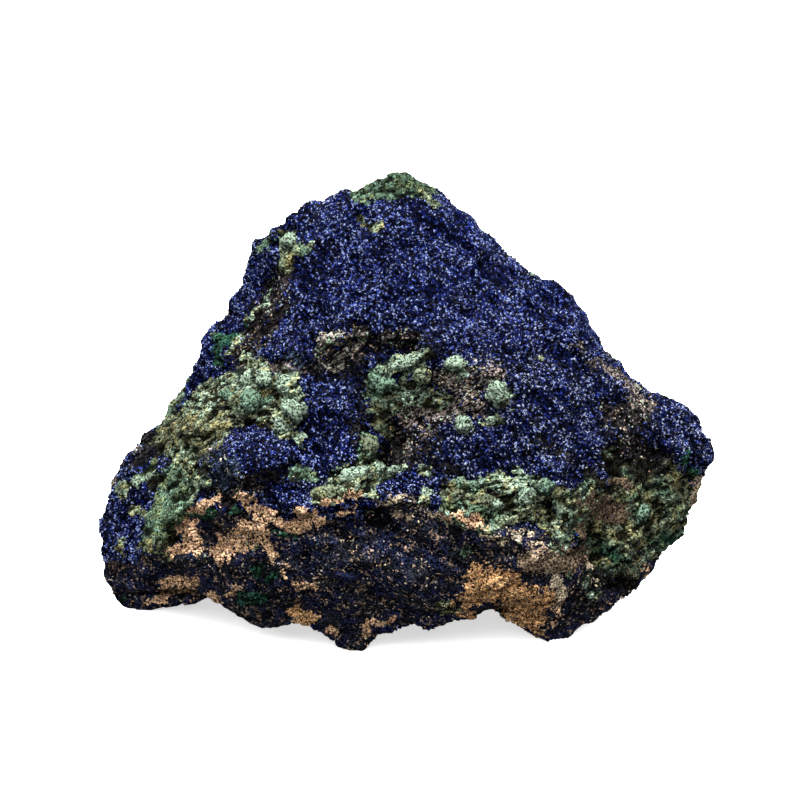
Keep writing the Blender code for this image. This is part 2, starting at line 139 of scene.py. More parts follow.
# Broad swellings with soft edges.
SWELLINGS = [
    ((-19.5, 12), (-10.5, 12.5), 2.5, 1.5),  # lip at the foot of the crystal face
    ((6, 9.5), (19.5, 4.5), 2.5, 1.2),  # lip over the right of the hollow
    ((-24.5, 0), (-29.5, 1), 8, 2),  # under the malachite knobs
    ((-41.5, -13.5), (-47, -28.5), 2.5, 3.5),  # ridge of malachite down the left
    ((-41, -6), (-31, -5), 2.5, 2),  # shelf at the top of that ridge
    ((-31, -18), (-19.5, -21), 1.5, 1.5),  # rim of the ledge, in four stretches
    ((-19.5, -21), (-10, -19.5), 1.5, 1.5),
    ((-10, -19.5), (6, -20), 1.5, 1.2),
    ((8, -20.5), (19.5, -26.5), 1.5, 1.5),
    ((19.5, -37), (29.5, -40), 4.5, 2),  # ochre mass over the right foot
    ((31, 22), (31, 22), 3, 1.5),  # knoll on the right crest
    ((-37, 10.5), (-34.5, 12.5), 2.5, 2),  # lump on the left flank
    ((-57.5, -26.5), (-55.5, -36), 4.5, 2),  # toe of the left flank
    ((8, 36), (37, 8), 2, 1.3),  # crest between the crystal face and the right facet
    ((37, 8), (51.5, -6), 2, 1.2),
    ((-23.5, 19.5), (-30, 5), 2, 1.2),  # crest of the dark strip
    ((-29.5, 31), (-19.5, 36), 2.5, 1.2),  # left shoulder
    ((41, -39.5), (51, -31), 2, 2),  # rib along the lower right
    ((-2, 42.5), (-2, 42.5), 5, 2),  # crown
    ((58.5, -8), (56.5, -13.5), 2.5, 1.5),  # right tip
    ((39, -8), (27.5, -15.5), 3.5, 1.5),  # apron of the crystal face
    ((-13.5, -31), (4, -37), 4.5, 1.2),  # belly of the lower face
]
# Knobs with steep sides: balls and slabs of malachite, and masses of azurite.
KNOBS = [
    ((-34, -10.5), (-27, -12.5), 5, 4.5),  # azurite mass at the left end of the hollow
    ((-24.5, -9.5), (-19, -10.5), 2.5, 2.5),
    ((-12.5, -1.5), (-10.5, -10), 4.5, 4),  # azurite column in the hollow
    ((-13.5, -14), (-19.5, -15), 2.5, 2),
    ((-4, 3.5), (-4, 3.5), 3, 3.4),  # malachite ball under the lip
    ((-20.5, -2), (-20.5, -2), 2.5, 2.8),  # malachite knobs left of the column
    ((-23, -5.5), (-23, -5.5), 2, 2.4),
    ((-19.5, -7.5), (-19.5, -7.5), 1.5, 1.5),
    ((-31, 4), (-31, 4), 2.5, 2.2),
    ((-27, 4.5), (-27, 4.5), 2, 1.8),
    ((-29.5, -0.5), (-29.5, -0.5), 2.5, 2),
    ((-22, 2.5), (-22, 2.5), 2, 1.8),
    ((-5.5, -10), (-5.5, -10), 2, 2.2),  # malachite knobs in the hollow
    ((-14.5, -18), (-14.5, -18), 2, 2.2),
    ((12.5, -5.5), (12.5, -5.5), 1.5, 2.2),
    ((18, -4), (18, -4), 1, 1.2),
    ((11, 7), (11, 7), 2, 2),
    ((19.5, 1), (19.5, 1), 2.3, 3.2),
    ((4.5, 5), (4.5, 5), 2, 1.5),
    ((-1.5, 6), (6, 9), 2, 2),
    ((-10.5, -17), (-3.5, -14), 2, 3),  # malachite on the ledge
    ((3, -17), (8, -16), 1.5, 1.5),
    ((24.5, -19.5), (24.5, -19.5), 2.2, 2.4),
    ((22, -17), (22, -17), 2, 1.8),
    ((15.5, -21), (15.5, -21), 2.5, 1.8),
    ((28.5, -17.5), (28.5, -17.5), 1.5, 1.2),
    ((33, -20.5), (31, -27), 1.6, 3),  # standing slab of malachite
    ((28.5, -31), (28.5, -31), 3.5, 2.5),  # tan lump
    ((-20.5, -19), (-20.5, -19), 2, 1.5),  # azurite ball
]
PITS = [
    ((-9, 10.5), (3, 10), 2, 5),  # hole under the lip of the crystal face
    ((0, -8), (-1.5, -13.5), 2.5, 3),  # gap behind the ledge
    ((-11.5, 6.5), (-11.5, 6.5), 2, 2),
    ((10.5, -13.5), (13.5, -10.5), 2.5, 1.5),
    ((-36, -18.5), (-33, -19.5), 1.5, 2),
    ((-45.5, -25), (-45.5, -25), 2, 4),  # pit in the malachite ridge
    ((-5, -23), (0.5, -24), 2, 5),  # hole in the lower face
    ((7, -22.5), (7, -26), 1, 3),  # slot beside it
    ((41, -10.5), (50.5, -12.5), 2.5, 3),  # hollow in the right flank
    ((48, -13.5), (48, -13.5), 2, 2),
    ((56.5, -17), (56.5, -17), 1, 1.5),
    ((39, -37), (52.5, -28.5), 1, 2),  # crack over the rib
    ((22, -41), (22, -41), 2, 3),  # arch by the right foot
]

# Lumps round the back and sides, as strokes between points in space.
BACK_LUMPS = [
    ((-14, 24, 66), (-26, 26, 52), 5, 2.5),  # crest down the back
    ((14, 27, 60), (30, 27, 48), 6, 2),
    ((-8, 37, 34), (10, 38, 26), 7, 2.5),
    ((-34, 34, 26), (-42, 28, 14), 6, 2.5),
    ((36, 32, 22), (44, 26, 12), 6, 2.5),
    ((54, 10, 36), (60, 6, 28), 4, 2),
    ((-50, 14, 34), (-56, 10, 22), 5, 2.5),
    ((-12, 38, 12), (14, 38, 8), 5, 1.5),
    ((4, 18, 78), (16, 18, 68), 4, 1.5),
]
BACK_PITS = [
    ((-6, 31, 46), (8, 34, 40), 4, 2.5),
    ((22, 34, 34), (26, 33, 26), 4, 2.5),
    ((-24, 36, 34), (-20, 37, 22), 4, 2.5),
    ((-40, 20, 36), (-46, 20, 30), 3, 2),
    ((42, 22, 34), (48, 20, 30), 4, 2),
    ((0, 26, 62), (6, 26, 60), 3, 1.5),
]

# Roughness: (wave, depth, octaves, seed) in millimetres.
HEAVES = (15.0, 1.1, 3, 101)
CRUMBLE = (5.5, 0.8, 2, 202)
STRATA = (4.0, 0.8, 2, 303)  # flat-lying layers in the lower face, which fade out upwards
STRATA_STRETCH = (0.3, 0.3, 1.0)
STRATA_TOP = 30.0
STRATA_FADE = 8.0

# The middle of the finished lump's box, which the origin goes under.
BOX_MIDDLE = (-0.3, 1.2, 0.0)

GRID = 127  # quads along each edge of the cube that the grid starts from
GRID_PULL = (0.0, -0.42, 0.08)  # moves grid points towards the front, where the small forms are


def cell_value(cell, seed):
    """A repeatable number from 0 to 1 for each whole-number cell, by mixing the bits of its indices."""
    x, y, z = (cell[..., i].astype(np.int64) for i in range(3))
    mixed = (x * 374761393 + y * 668265263 + z * 2147483647 + seed * 1442695041) & 0xFFFFFFFF
    mixed = ((mixed ^ (mixed >> 13)) * 1274126177) & 0xFFFFFFFF
    mixed = ((mixed ^ (mixed >> 16)) * 2246822519) & 0xFFFFFFFF
    return (mixed ^ (mixed >> 15)) / 4294967296.0


def noise(points, seed):
    """Smooth noise from -1 to 1: the values of the eight cells round a point, eased into each other."""
    cell = np.floor(points)
    share = points - cell
    share = share**3 * (share * (share * 6 - 15) + 10)
    total = 0.0
    for corner in np.ndindex(2, 2, 2):
        weight = np.prod(np.where(corner, share, 1 - share), axis=-1)
        total = total + weight * cell_value(cell + corner, seed)
    return total * 2 - 1


def fractal(points, wave, octaves, seed):
    """Noise on noise: each octave is half as strong as the last, twice as fine, and turned."""
    turn = np.array([[0.36, 0.48, -0.8], [-0.8, 0.6, 0.0], [0.48, 0.64, 0.6]])
    place, total, strength = points / wave, 0.0, 1.0
    for octave in range(octaves):
        total = total + strength * noise(place, seed + octave)
        place = place @ turn.T * 2.03 + 7.1
        strength /= 2
    return total


def eased(value, low, high):
    """0 below low, 1 above high, and a smooth step between them."""
    share = np.clip((value - low) / (high - low), 0, 1)
    return share * share * (3 - 2 * share)


def unit(vectors):
    return vectors / np.linalg.norm(vectors, axis=1, keepdims=True)


def stroke_distance(points, start, end):
    """Distance from each point to the straight stroke from start to end, on the chart or in space."""
    start, end = np.array(start, float), np.array(end, float)
    along = end - start
    share = np.clip((points - start) @ along / max(along @ along, 1e-9), 0, 1)
    return np.linalg.norm(points - start - share[:, None] * along, axis=1)


def raised(points, strokes, steepness):
    """Sum of the strokes' heights, each (1 - (distance / half width)^2) ^ steepness within its width."""
    total = np.zeros(len(points))
    for start, end, half_width, height in strokes:
        share = stroke_distance(points, start, end) / half_width
        total += height * np.clip(1 - share**2, 0, None) ** steepness
    return total


def sight_lines(points):
    """The line from the eye to each point, and where it meets the chart, in millimetres across and up."""
    across = np.array([1.0, 0.0, 0.0])
    ahead = np.array([0.0, np.cos(CHART_TILT), -np.sin(CHART_TILT)])
    up = np.cross(across, ahead)
    from_eye = points - (np.array(CHART_MIDDLE) - CHART_DISTANCE * ahead)
    scale = CHART_DISTANCE / (from_eye @ ahead)
    return from_eye, np.stack([scale * (from_eye @ across), scale * (from_eye @ up)], axis=1)


def moved_on_sight_lines(points):
    """The points after the front's swellings, knobs and pits have moved them along their sight lines."""
    from_eye, chart = sight_lines(points)
    wave, depth = CHART_WANDER
    wander = [fractal(points, wave, 3, seed) for seed in CHART_WANDER_SEEDS]
    chart += depth * np.stack(wander, axis=1)
    nearer = raised(chart, SWELLINGS, SWELLING_STEEPNESS) + raised(chart, KNOBS, KNOB_STEEPNESS)
    nearer -= raised(chart, PITS, PIT_STEEPNESS)
    nearer *= 1 - eased(points[:, 1], *CHART_REACH)
    return points - nearer[:, None] * unit(from_eye)


def cage_radius(directions):
    """Distance from CENTRE to the cage along each direction.

    The cage's triangles are the convex hull of its corners' directions, and a direction meets the one in
    which it is a sum of the corners with no negative share.
    """
    corners = np.array(CAGE) - CENTRE
    hull = bmesh.new()
    for direction in unit(corners):
        hull.verts.new(direction)
    bmesh.ops.convex_hull(hull, input=hull.verts)
    hull.verts.index_update()
    faces = np.array([[vert.index for vert in face.verts] for face in hull.faces])
    hull.free()

    to_corners = np.linalg.inv(corners[faces].transpose(0, 2, 1))
    radii = []
    for batch in np.array_split(directions, 8):
        shares = np.einsum("tij,nj->nti", to_corners, batch)
        inside = (shares.min(axis=2) / np.abs(shares).sum(axis=2)).argmax(axis=1)
        radii.append(1 / shares[np.arange(len(batch)), inside].sum(axis=1))
    return np.concatenate(radii)


def lump_points(directions):
    """Where the lump's surface lies along each direction from CENTRE, before its fine roughness.

    The cage's distance, plus strokes round the back, plus fractal noise in three bands, moved along the
    sight lines by the front's strokes, and cut flat by the floor.
    """
    wander = [fractal(directions, EDGE_WANDER_WAVE, 3, seed) for seed in EDGE_WANDER_SEEDS]
    radius = cage_radius(unit(directions + EDGE_WANDER * np.stack(wander, axis=1)))
    base = CENTRE + radius[:, None] * directions
    radius += raised(base, BACK_LUMPS, BACK_STEEPNESS) - raised(base, BACK_PITS, BACK_STEEPNESS)
    for wave, depth, octaves, seed in (HEAVES, CRUMBLE):
        radius += depth * fractal(base, wave, octaves, seed)
    wave, depth, octaves, seed = STRATA
    low = 1 - eased(base[:, 2], STRATA_TOP, STRATA_TOP + STRATA_FADE)
    radius += low * depth * fractal(base * STRATA_STRETCH, wave, octaves, seed)

    points = moved_on_sight_lines(CENTRE + radius[:, None] * directions)
    centre = np.array(CENTRE)
    share = centre[2] / np.maximum(centre[2] - points[:, 2:], 1e-6)
    on_floor = centre + (points - centre) * share
    return np.where(points[:, 2:] < 0, on_floor * (1, 1, 0), points)


def ball_of_quads(cuts):
    """Points (each side of a cube as a grid of two parameters, welded at the edges) and outward quads."""
    first, second = np.meshgrid(np.arange(cuts + 1), np.arange(cuts + 1), indexing="ij")
    places, quads = [], []
    for side in range(6):
        axis, far = side % 3, side // 3
        grid = np.empty((cuts + 1, cuts + 1, 3), int)
        grid[..., axis] = far * cuts
        grid[..., (axis + 1) % 3] = first
        grid[..., (axis + 2) % 3] = second
        index = side * (cuts + 1) ** 2 + np.arange((cuts + 1) ** 2).reshape(cuts + 1, cuts + 1)
        corners = [index[:-1, :-1], index[1:, :-1], index[1:, 1:], index[:-1, 1:]]
        quads.append(np.stack(corners if far else corners[::-1], axis=-1).reshape(-1, 4))
        places.append(grid.reshape(-1, 3))
    places, welded = np.unique(np.concatenate(places), axis=0, return_inverse=True)
    return places / cuts * 2.0 - 1, welded.reshape(-1)[np.concatenate(quads)]


def outward(points, quads):
    """Unit normal of each point: the sum of the crossed diagonals of the quads round it."""
    across = points[quads[:, 2]] - points[quads[:, 0]]
    down = points[quads[:, 3]] - points[quads[:, 1]]
    crossed = np.cross(across, down)
    total = np.zeros_like(points)
    for corner in range(4):
        np.add.at(total, quads[:, corner], crossed)
    return unit(total)


# Where each mineral shows on the front, as strokes on the chart: two ends and a half width.
MALACHITE = {
    "pale": [
        ((-22, 31.5), (-21.5, 30), 2.4), ((-20, 30), (-17.5, 30.2), 0.8), ((-29.5, 9), (-29, 6.5), 0.9),
        ((-41, -1), (-33, 1), 3.4), ((-35, 2.5), (-30, 4), 2.4), ((-31, 4), (-27, 5), 2.4),
        ((-22, 3), (-20.5, -2), 2.9), ((-29.3, 0.4), (-27, -2), 2.6), ((-24, -1), (-23, -5.5), 2.2),
        ((-19.5, -7.5), (-19.5, -7.5), 1.6), ((-41, -18), (-38, -16), 1.2), ((-2, 6.3), (5.8, 8.6), 1.5),
        ((-43, -9.5), (-41, -14), 2.8), ((-55.5, -16), (-53, -18.5), 1.2), ((-54, -17), (-48, -14.5), 1.0),
        ((0.3, 4), (3, 5.5), 0.7), ((10.8, 7), (10.8, 7), 2.1), ((12, 5), (12, 5), 0.9),
        ((19.7, 1), (19.7, 1), 2.6), ((-4, -1.5), (2, 1.5), 2.6), ((2, 1), (8, 0), 1.8),
        ((12.7, -5.3), (12.7, -5.3), 1.8), ((16.5, -4.5), (19, -3.5), 0.9),
        ((-11, -15.5), (-4, -14.3), 2.5), ((-10, -17), (-6, -18), 1.7), ((-1.5, -13.3), (0.5, -13.5), 0.9),
        ((4, -13.5), (5.5, -14.5), 1.1), ((5, -18.7), (5, -18.7), 1.5), ((23.5, -20), (26, -18.5), 2.3),
        ((33.5, -20), (31, -28), 2.0), ((36, -17.5), (37, -18.5), 1.7), ((37.5, -19), (40, -19.5), 0.9),
        ((46, -20), (48, -24), 1.9), ((36.5, -35.5), (38, -38), 1.0), ((47, -31), (50, -30.5), 1.4),
        ((-23.5, 26), (-25, 21.5), 0.4), ((-25, 21.5), (-26.5, 19), 0.4), ((-26.5, 19), (-30, 16), 0.4),
        ((-30.5, 13), (-33, 9), 0.45), ((40, -9.5), (41, -11), 0.9), ((-13.5, 11.2), (-15.5, 9.8), 0.6),
        ((19.5, -15.5), (24, -17), 1.6), ((9, -22), (18, -24.5), 1.6), ((13, -15.8), (16, -15.3), 0.9),
        ((22, -13.8), (28, -15.5), 0.8),
    ],
    "yellow": [
        ((4.5, 39.5), (6.8, 37.5), 0.8), ((-23, 29), (-22.5, 26.5), 1.6), ((-9, 36), (-5.5, 33), 0.6),
        ((-5.5, 33), (-3, 35.2), 0.7), ((4.5, 4.8), (4.5, 4.8), 1.9), ((-15.5, -18.5), (-12.5, -18.5), 1.9),
        ((20, -23.5), (25, -23), 1.6), ((46, -26), (47.5, -29), 1.5), ((-49, -28), (-46, -29), 1.9),
        ((41, -26), (43, -28), 1.8), ((-52.5, -21), (-50, -23), 0.9), ((-29.5, -28.5), (-28, -29), 0.8),
        ((27, 8.6), (28, 8.3), 0.4), ((-54, -28), (-55, -29.5), 0.8), ((8, -40.5), (10.5, -40.5), 0.9),
        ((28, -22), (30, -26), 1.4),
    ],
    "olive": [
        ((-47, -5), (-36, -5.5), 3.6), ((-44, -8), (-39, -9), 2.4), ((-5, -4.5), (-3, -6), 1.3),
        ((-37, 2), (-31, -3), 2.2), ((36, -22), (45, -29), 4.2), ((48, -19), (55, -20), 4.2),
        ((44, -25), (53, -24), 4.0), ((41, -19), (46, -17), 2.6), ((37, -30), (44, -33), 2.2),
        ((-26, 3), (-24, -3), 1.8), ((10, -18), (22, -20), 2.4), ((26, -20), (31, -19), 2.2),
        ((52, -14), (54, -16), 2.0),
    ],
    "green": [
        ((-9, 40.0), (2, 40.3), 0.9), ((-24.3, 32.5), (-24.3, 32.5), 0.9),
        ((-28.5, 28.5), (-26.3, 31), 1.0), ((24.5, 24.8), (25.5, 24), 0.9),
        ((-20, 28.5), (-18.5, 28.8), 1.0), ((-43, -15), (-43.5, -20), 3.7), ((-44, -20), (-47, -26), 3.5),
        ((-47.5, -12), (-50, -15), 1.1), ((10, -21), (19, -22.5), 2.2), ((-6.5, -8.5), (-6, -11), 1.8),
        ((50, -17), (56, -22), 2.6), ((45, -19), (48, -24), 2.4), ((-4.2, 3.3), (-4.2, 3.3), 3.0),
        ((12, -17), (18, -16.5), 1.9), ((31.5, -32.5), (33.5, -35), 0.8), ((11.5, -29.8), (14, -29.3), 1.0),
        ((25, -8.2), (25, -8.2), 0.6), ((43.7, -13), (44.3, -14.5), 0.8), ((-21, -14), (-17, -15), 1.5),
        ((34, -23), (36, -27), 1.8), ((47, -27), (51, -29), 1.6),
    ],
    "moss": [
        ((-8, 41), (-1.5, 43.8), 2.5), ((-1.5, 43.8), (5.4, 41.6), 2.6), ((37.5, -25), (41, -30), 1.6),
        ((46, -17), (52, -17.5), 1.5), ((40, -33), (45, -32), 1.3), ((52, -23), (55, -26), 1.4),
        ((-33, -1), (-31, -2.5), 1.2), ((-45, -21), (-46, -25), 1.4),
    ],
    "deep": [
        ((-36, 12.5), (-33, 12), 1.5), ((-36, 10.5), (-35, 8), 1.4), ((51, -26), (54, -27), 2.0),
        ((55.5, -11), (57, -14), 1.4), ((-25, -35), (-25, -35), 1.1), ((-39, -21.5), (-37, -22), 1.3),
        ((-30, 15), (-30, 15), 0.7), ((-31, -38.5), (-27, -38), 1.1), ((-54, -39), (-54, -39), 0.9),
        ((-33, -22), (-32, -21.5), 0.8), ((-24.5, -25.5), (-19.5, -26), 0.6),
        ((38.5, -30), (42.5, -31.5), 2.3), ((-28, -33), (-27, -33), 0.9), ((40, -28.5), (42, -32), 2.0),
        ((51, -27), (54, -28), 1.6),
    ],
    # Painted shade: nearly black paint in the gaps between the malachite's slabs and knobs and in the dark
    # hollows of the right recess.
    "painted_gap_shade": [
        ((41, -11), (44, -17), 2.2), ((44, -13), (51, -13.5), 1.8), ((35.8, -20), (36.8, -27), 0.9),
        ((38.5, -34), (45, -35.5), 1.6), ((46, -16), (50, -17.5), 1.6), ((-45.5, -24), (-44, -26.5), 1.8),
        ((37, -23), (39, -27), 1.6), ((41.5, -23.5), (44, -25), 0.9), ((37, -14.5), (39, -17), 1.3),
        ((22, -21.5), (23, -23), 1.0), ((17, -18.5), (20, -18.6), 0.9), ((-25.5, -3.5), (-25, -6), 0.8),
        ((-32, -3.5), (-27, -4.5), 0.9), ((-47, -15.5), (-48, -18), 0.8), ((28, -20.5), (29.3, -24), 0.9),
        ((51, -22), (52, -25), 0.8), ((-23.5, 0.5), (-24.5, 2), 0.7), ((-37, -2), (-34, -1.5), 0.6),
        ((40, -26), (43, -27.5), 0.8), ((46, -22.5), (48, -26.5), 0.7), ((34.8, -29), (37, -32), 0.9),
        ((53.5, -18), (55.5, -22), 0.7), ((31, -18.8), (33, -21.5), 0.6), ((12, -18.6), (15, -19.6), 0.6),
        ((-40, -9.8), (-38, -14), 0.7), ((-46, -8), (-47, -11), 0.7), ((24, -23.8), (27, -23.2), 0.6),
    ],
}
LIMONITE = {
    "tan": [
        ((-39.5, -20.5), (-35.5, -19.2), 0.84), ((-31.5, -18.8), (-29, -20.5), 1.01),
        ((-28, -21.5), (-25, -21.5), 1.09), ((-25, -22), (-22.5, -23.5), 1.09),
        ((-22, -23.5), (-18.5, -24.5), 1.09), ((-19, -22), (-16.5, -22.5), 1.26),
        ((-16.5, -24.3), (-15, -24.8), 0.67), ((-35, -29.5), (-27.5, -25), 2.02),
        ((-27.5, -25.5), (-26, -28), 1.09), ((-36, -30.5), (-35, -31.5), 0.76),
        ((-41.5, -24), (-39.5, -28.5), 1.43), ((-45, -29), (-41, -29), 0.92),
        ((-26, -30), (-24.5, -30.5), 0.92), ((-46.5, -35.5), (-40, -35), 0.67),
        ((-45, -37.5), (-40.5, -37), 0.67), ((-49, -39), (-46, -38.5), 0.76),
        ((-37.5, -38), (-35, -39), 0.76), ((-33.5, -38), (-31.5, -37), 0.59),
        ((-21, -36), (-17, -36.5), 0.84), ((-14.5, -45), (-12.5, -45.5), 0.67),
        ((-6.5, -45), (-2, -43), 0.67), ((-10.5, -18.8), (-8, -19), 0.59), ((-15, -20), (-12, -19.3), 0.67),
        ((-11.5, -22), (-8.5, -21), 0.76), ((47.5, -33.5), (47.5, -33.5), 0.67),
        ((31.3, -40.7), (31.3, -40.7), 0.34), ((30, -43.5), (30, -43.5), 0.42),
        ((-52, -39.5), (-52, -39.5), 0.5), ((9, -23), (12, -23.3), 0.59), ((14, -23.5), (15.5, -24), 0.92),
        ((-23, -33.5), (-22, -35), 0.34),
    ],
    "ochre": [
        ((15, -35), (19, -36), 2.8), ((13, -38.5), (18.5, -38.5), 1.4), ((21, -35.5), (22, -37), 1.6),
        ((22.5, -39), (27.5, -39), 2.2), ((22, -41.5), (26.5, -43), 2.1),
        ((25.5, -44.5), (26.5, -45.5), 1.0), ((11.5, -41.5), (13.5, -42.5), 0.9),
        ((-20.5, -41.5), (-18, -42.5), 1.5), ((-54.5, -27), (-54.5, -27), 0.8),
    ],
    "cream": [
        ((6, -21.5), (9, -23), 0.5), ((16, -26), (20, -27.3), 0.25), ((20, -27), (25.5, -26), 0.3),
        ((26, -27.5), (29, -27.5), 0.4), ((30, -35), (31, -39), 1.0), ((36.5, -32.5), (37.5, -33.5), 0.7),
        ((-3, -18.8), (0, -19.3), 0.5), ((-2, -22), (3, -22.5), 0.3),
    ],
    "brown": [((25.5, -31.5), (33, -31.5), 2.6), ((58, -16), (58, -19.5), 1.2)],
    "bark": [
        ((36.5, -20.0), (43.5, -21.6), 1.5), ((39, -22.6), (43, -23.4), 1.0),
        ((33.5, -29.5), (35.5, -31), 0.8), ((34.5, -25), (35.5, -28), 0.7), ((41, -15.6), (45, -16.2), 0.6),
    ],
}
MATRIX = {
    # Partly painted shade: the black strokes under the lip, behind the ledge, at the pits and in the right
    # flank's hollow paint near-black into holes over dark matrix. The strip at the left edge of the crystal
    # face is the matrix's own dark colour.
    "black": [
        ((-23.5, 24), (-24, 19), 1.9), ((-24.5, 18.5), (-27.5, 14), 2.7), ((-27.5, 13), (-30.5, 8), 2.4),
        ((-9, 12.5), (3, 12), 1.8), ((-15, 9), (-8, 9), 1.5), ((0, -8), (-1.5, -13), 2.6),
        ((41, -3), (47, -3), 2.2), ((44, -9), (50, -12.5), 2.6),
        ((-36, -18.5), (-33, -19.5), 1.5), ((-31, -15.5), (-28, -16.5), 1.6),
    ],
    # Painted shade: nearly black paint in the holes under the lip, behind the ledge, at the pits, in the
    # right flank's hollow and in the gully on the left flank.
    "painted_hole_shade": [
        ((-44.5, -4.5), (-52.5, -12.5), 1.8), ((-5, -23.5), (-1, -24.5), 1.6), ((0, -9), (-1.5, -13), 1.9),
        ((-7, 11.5), (2, 11), 1.2), ((42, -11.5), (50, -13), 1.4), ((-36, -18.5), (-33.5, -19), 0.9),
    ],
    "umber": [
        ((0, -3), (14, -1), 2.3), ((2, -5), (6, -6), 1.5), ((10, 4), (18, 5), 2.6),
        ((-30, 7), (-18, 6), 1.3), ((37.5, 7.5), (42, 5.5), 1.1), ((42, 5.5), (46, 3), 1.0),
        ((46, 0.5), (49, -1), 1.6), ((32, 10.5), (35, 9.5), 0.6), ((-4, -19.8), (5, -20.3), 1.0),
        ((6, -4), (12, -3), 1.6),
    ],
    "slate": [((-37, -10.5), (-33, -15.5), 3.2), ((-20, 8), (-22, 4), 2.0)],
    "speckled": [((-15.5, 12.3), (-11, 12.3), 1.3), ((-14, 7), (-8, 11), 1.6), ((14, 6.5), (19, 4), 1.0)],
}
TINTS = {
    "pale": (0.40, 0.54, 0.40), "yellow": (0.34, 0.41, 0.26), "green": (0.20, 0.33, 0.23),
    "olive": (0.22, 0.26, 0.17), "deep": (0.035, 0.13, 0.09), "tan": (0.96, 0.61, 0.37),
    "ochre": (0.98, 0.565, 0.27), "cream": (0.85, 0.70, 0.50), "brown": (0.52, 0.38, 0.26),
    "moss": (0.11, 0.19, 0.13), "painted_hole_shade": (0.005, 0.005, 0.008), "bark": (0.15, 0.105, 0.07),
    "umber": (0.125, 0.102, 0.092), "black": (0.022, 0.018, 0.018), "speckled": (0.22, 0.20, 0.17),
    "painted_gap_shade": (0.020, 0.022, 0.017), "ash": (0.50, 0.48, 0.48), "slate": (0.022, 0.032, 0.055),
    "steel": (0.055, 0.07, 0.12), "ink": (0.018, 0.022, 0.05),
}
MARK_WANDER = ((4.0, 0.8, 3), (1.1, 0.35, 2))  # wave, depth and octaves of how the marks' edges stray
MARK_WANDER_SEEDS = (66, 77)
TORN = {"malachite": 0.4, "limonite": 0.8, "matrix": 1.0}  # how far their finer raggedness reaches
TORN_WAVE = 2.1
TORN_SEEDS = (166, 177)
TINT_PULL = 11  # how strongly the tint of the nearest kind wins over the others


def closeness(chart, marks):
    """1 on the middle line of the nearest mark, 0 at its half width, and down to -1 beyond it."""
    best = np.full(len(chart), -1.0)
    for start, end, half_width in marks:
        best = np.maximum(best, 1 - stroke_distance(chart, start, end) / half_width)
    return best


def mineral_on_chart(chart, kinds):
    """How near each point is to any mark of a mineral, and its tint: the kinds' tints, the nearest most."""
    near = np.stack([closeness(chart, marks) for marks in kinds.values()], axis=1)
    weights = np.exp(TINT_PULL * near)
    tints = np.array([TINTS[kind] for kind in kinds])
    return near.max(axis=1), weights @ tints / weights.sum(axis=1, keepdims=True)


# The same minerals round the sides and the back, as patches of noise: the wave, the seed, and how far
# the noise has to rise before the mineral shows. Limonite keeps to the lower part.
BACK_PATCHES = {"malachite": (15.0, 501, 0.38), "limonite": (11.0, 601, 0.42), "matrix": (12.0, 701, 0.40)}
BACK_TINTS = {"malachite": ("pale", "green"), "limonite": ("tan", "ochre"), "matrix": ("black", "umber")}
PATCH_STEEPNESS = 2.2
PATCH_TINTS = (7.0, 50)  # the wave in which a patch's two tints mix, and what it adds to the patch's seed
BACK_FROM, BACK_TO = 2.0, 13.0  # the chart's marks give way to the patches between these depths
BACK_BORDER = (6.0, 3.0, 88)  # the wave, depth and seed of how that border strays
CROWN_FOOT, CROWN_LIFT = 72.0, 0.6  # above this height the marks reach this share of it further back
LOW_TOP, LOW_FADE = 33.0, 8.0  # under this height the crust round the back is the dark, fine-grained kind
LOW_BORDER = (9.0, 6.0, 99)


def minerals(points):
    """For each point, the shares of the minerals, of the dark crust and of smooth and shaded blue crust.

    A mineral shows where its share is over 0.5. The tints of malachite, limonite and matrix come second.
    """
    _, chart = sight_lines(points)
    for wave, depth, octaves in MARK_WANDER:
        wander = [fractal(points, wave, octaves, seed) for seed in MARK_WANDER_SEEDS]
        chart = chart + depth * np.stack(wander, axis=1)
    torn = np.stack([fractal(points, TORN_WAVE, 2, seed) for seed in TORN_SEEDS], axis=1)
    crown_lift = CROWN_LIFT * np.clip(points[:, 2] - CROWN_FOOT, 0, None)
    wave, depth, seed = BACK_BORDER
    behind = eased(points[:, 1] - crown_lift + depth * noise(points / wave, seed), BACK_FROM, BACK_TO)
    wave, depth, seed = LOW_BORDER
    low = 1 - eased(points[:, 2] + depth * noise(points / wave, seed), LOW_TOP - LOW_FADE, LOW_TOP)
    shares, tints = {}, {}
    for name, kinds in (("malachite", MALACHITE), ("limonite", LIMONITE), ("matrix", MATRIX)):
        near, tint = mineral_on_chart(chart + TORN[name] * torn, kinds)
        wave, seed, rise = BACK_PATCHES[name]
        patch = PATCH_STEEPNESS * (fractal(points, wave, 4, seed) - rise)
        if name == "limonite":
            patch -= 2 * (1 - low)
        mixed = eased(fractal(points, PATCH_TINTS[0], 2, seed + PATCH_TINTS[1]), -0.5, 0.5)[:, None]
        first, second = (np.array(TINTS[kind]) for kind in BACK_TINTS[name])
        back_tint = first + (second - first) * mixed
        shares[name] = np.clip(0.5 + 0.5 * (near * (1 - behind) + patch * behind), 0, 1)
        tints[name] = tint + (back_tint - tint) * behind[:, None]
    lower_front = closeness(chart, LOWER_CRUST)
    shares["dark"] = np.clip(0.5 + 0.5 * (lower_front * (1 - behind) + (2 * low - 1) * behind), 0, 1)
    shares["smooth"] = eased(closeness(chart, SMOOTH_FACETS), 0.0, 0.4) * (1 - behind)
    shares["deep_shade"] = eased(closeness(chart, DEEP_SHADE), -0.3, 0.7) * (1 - behind)
    return shares, tints


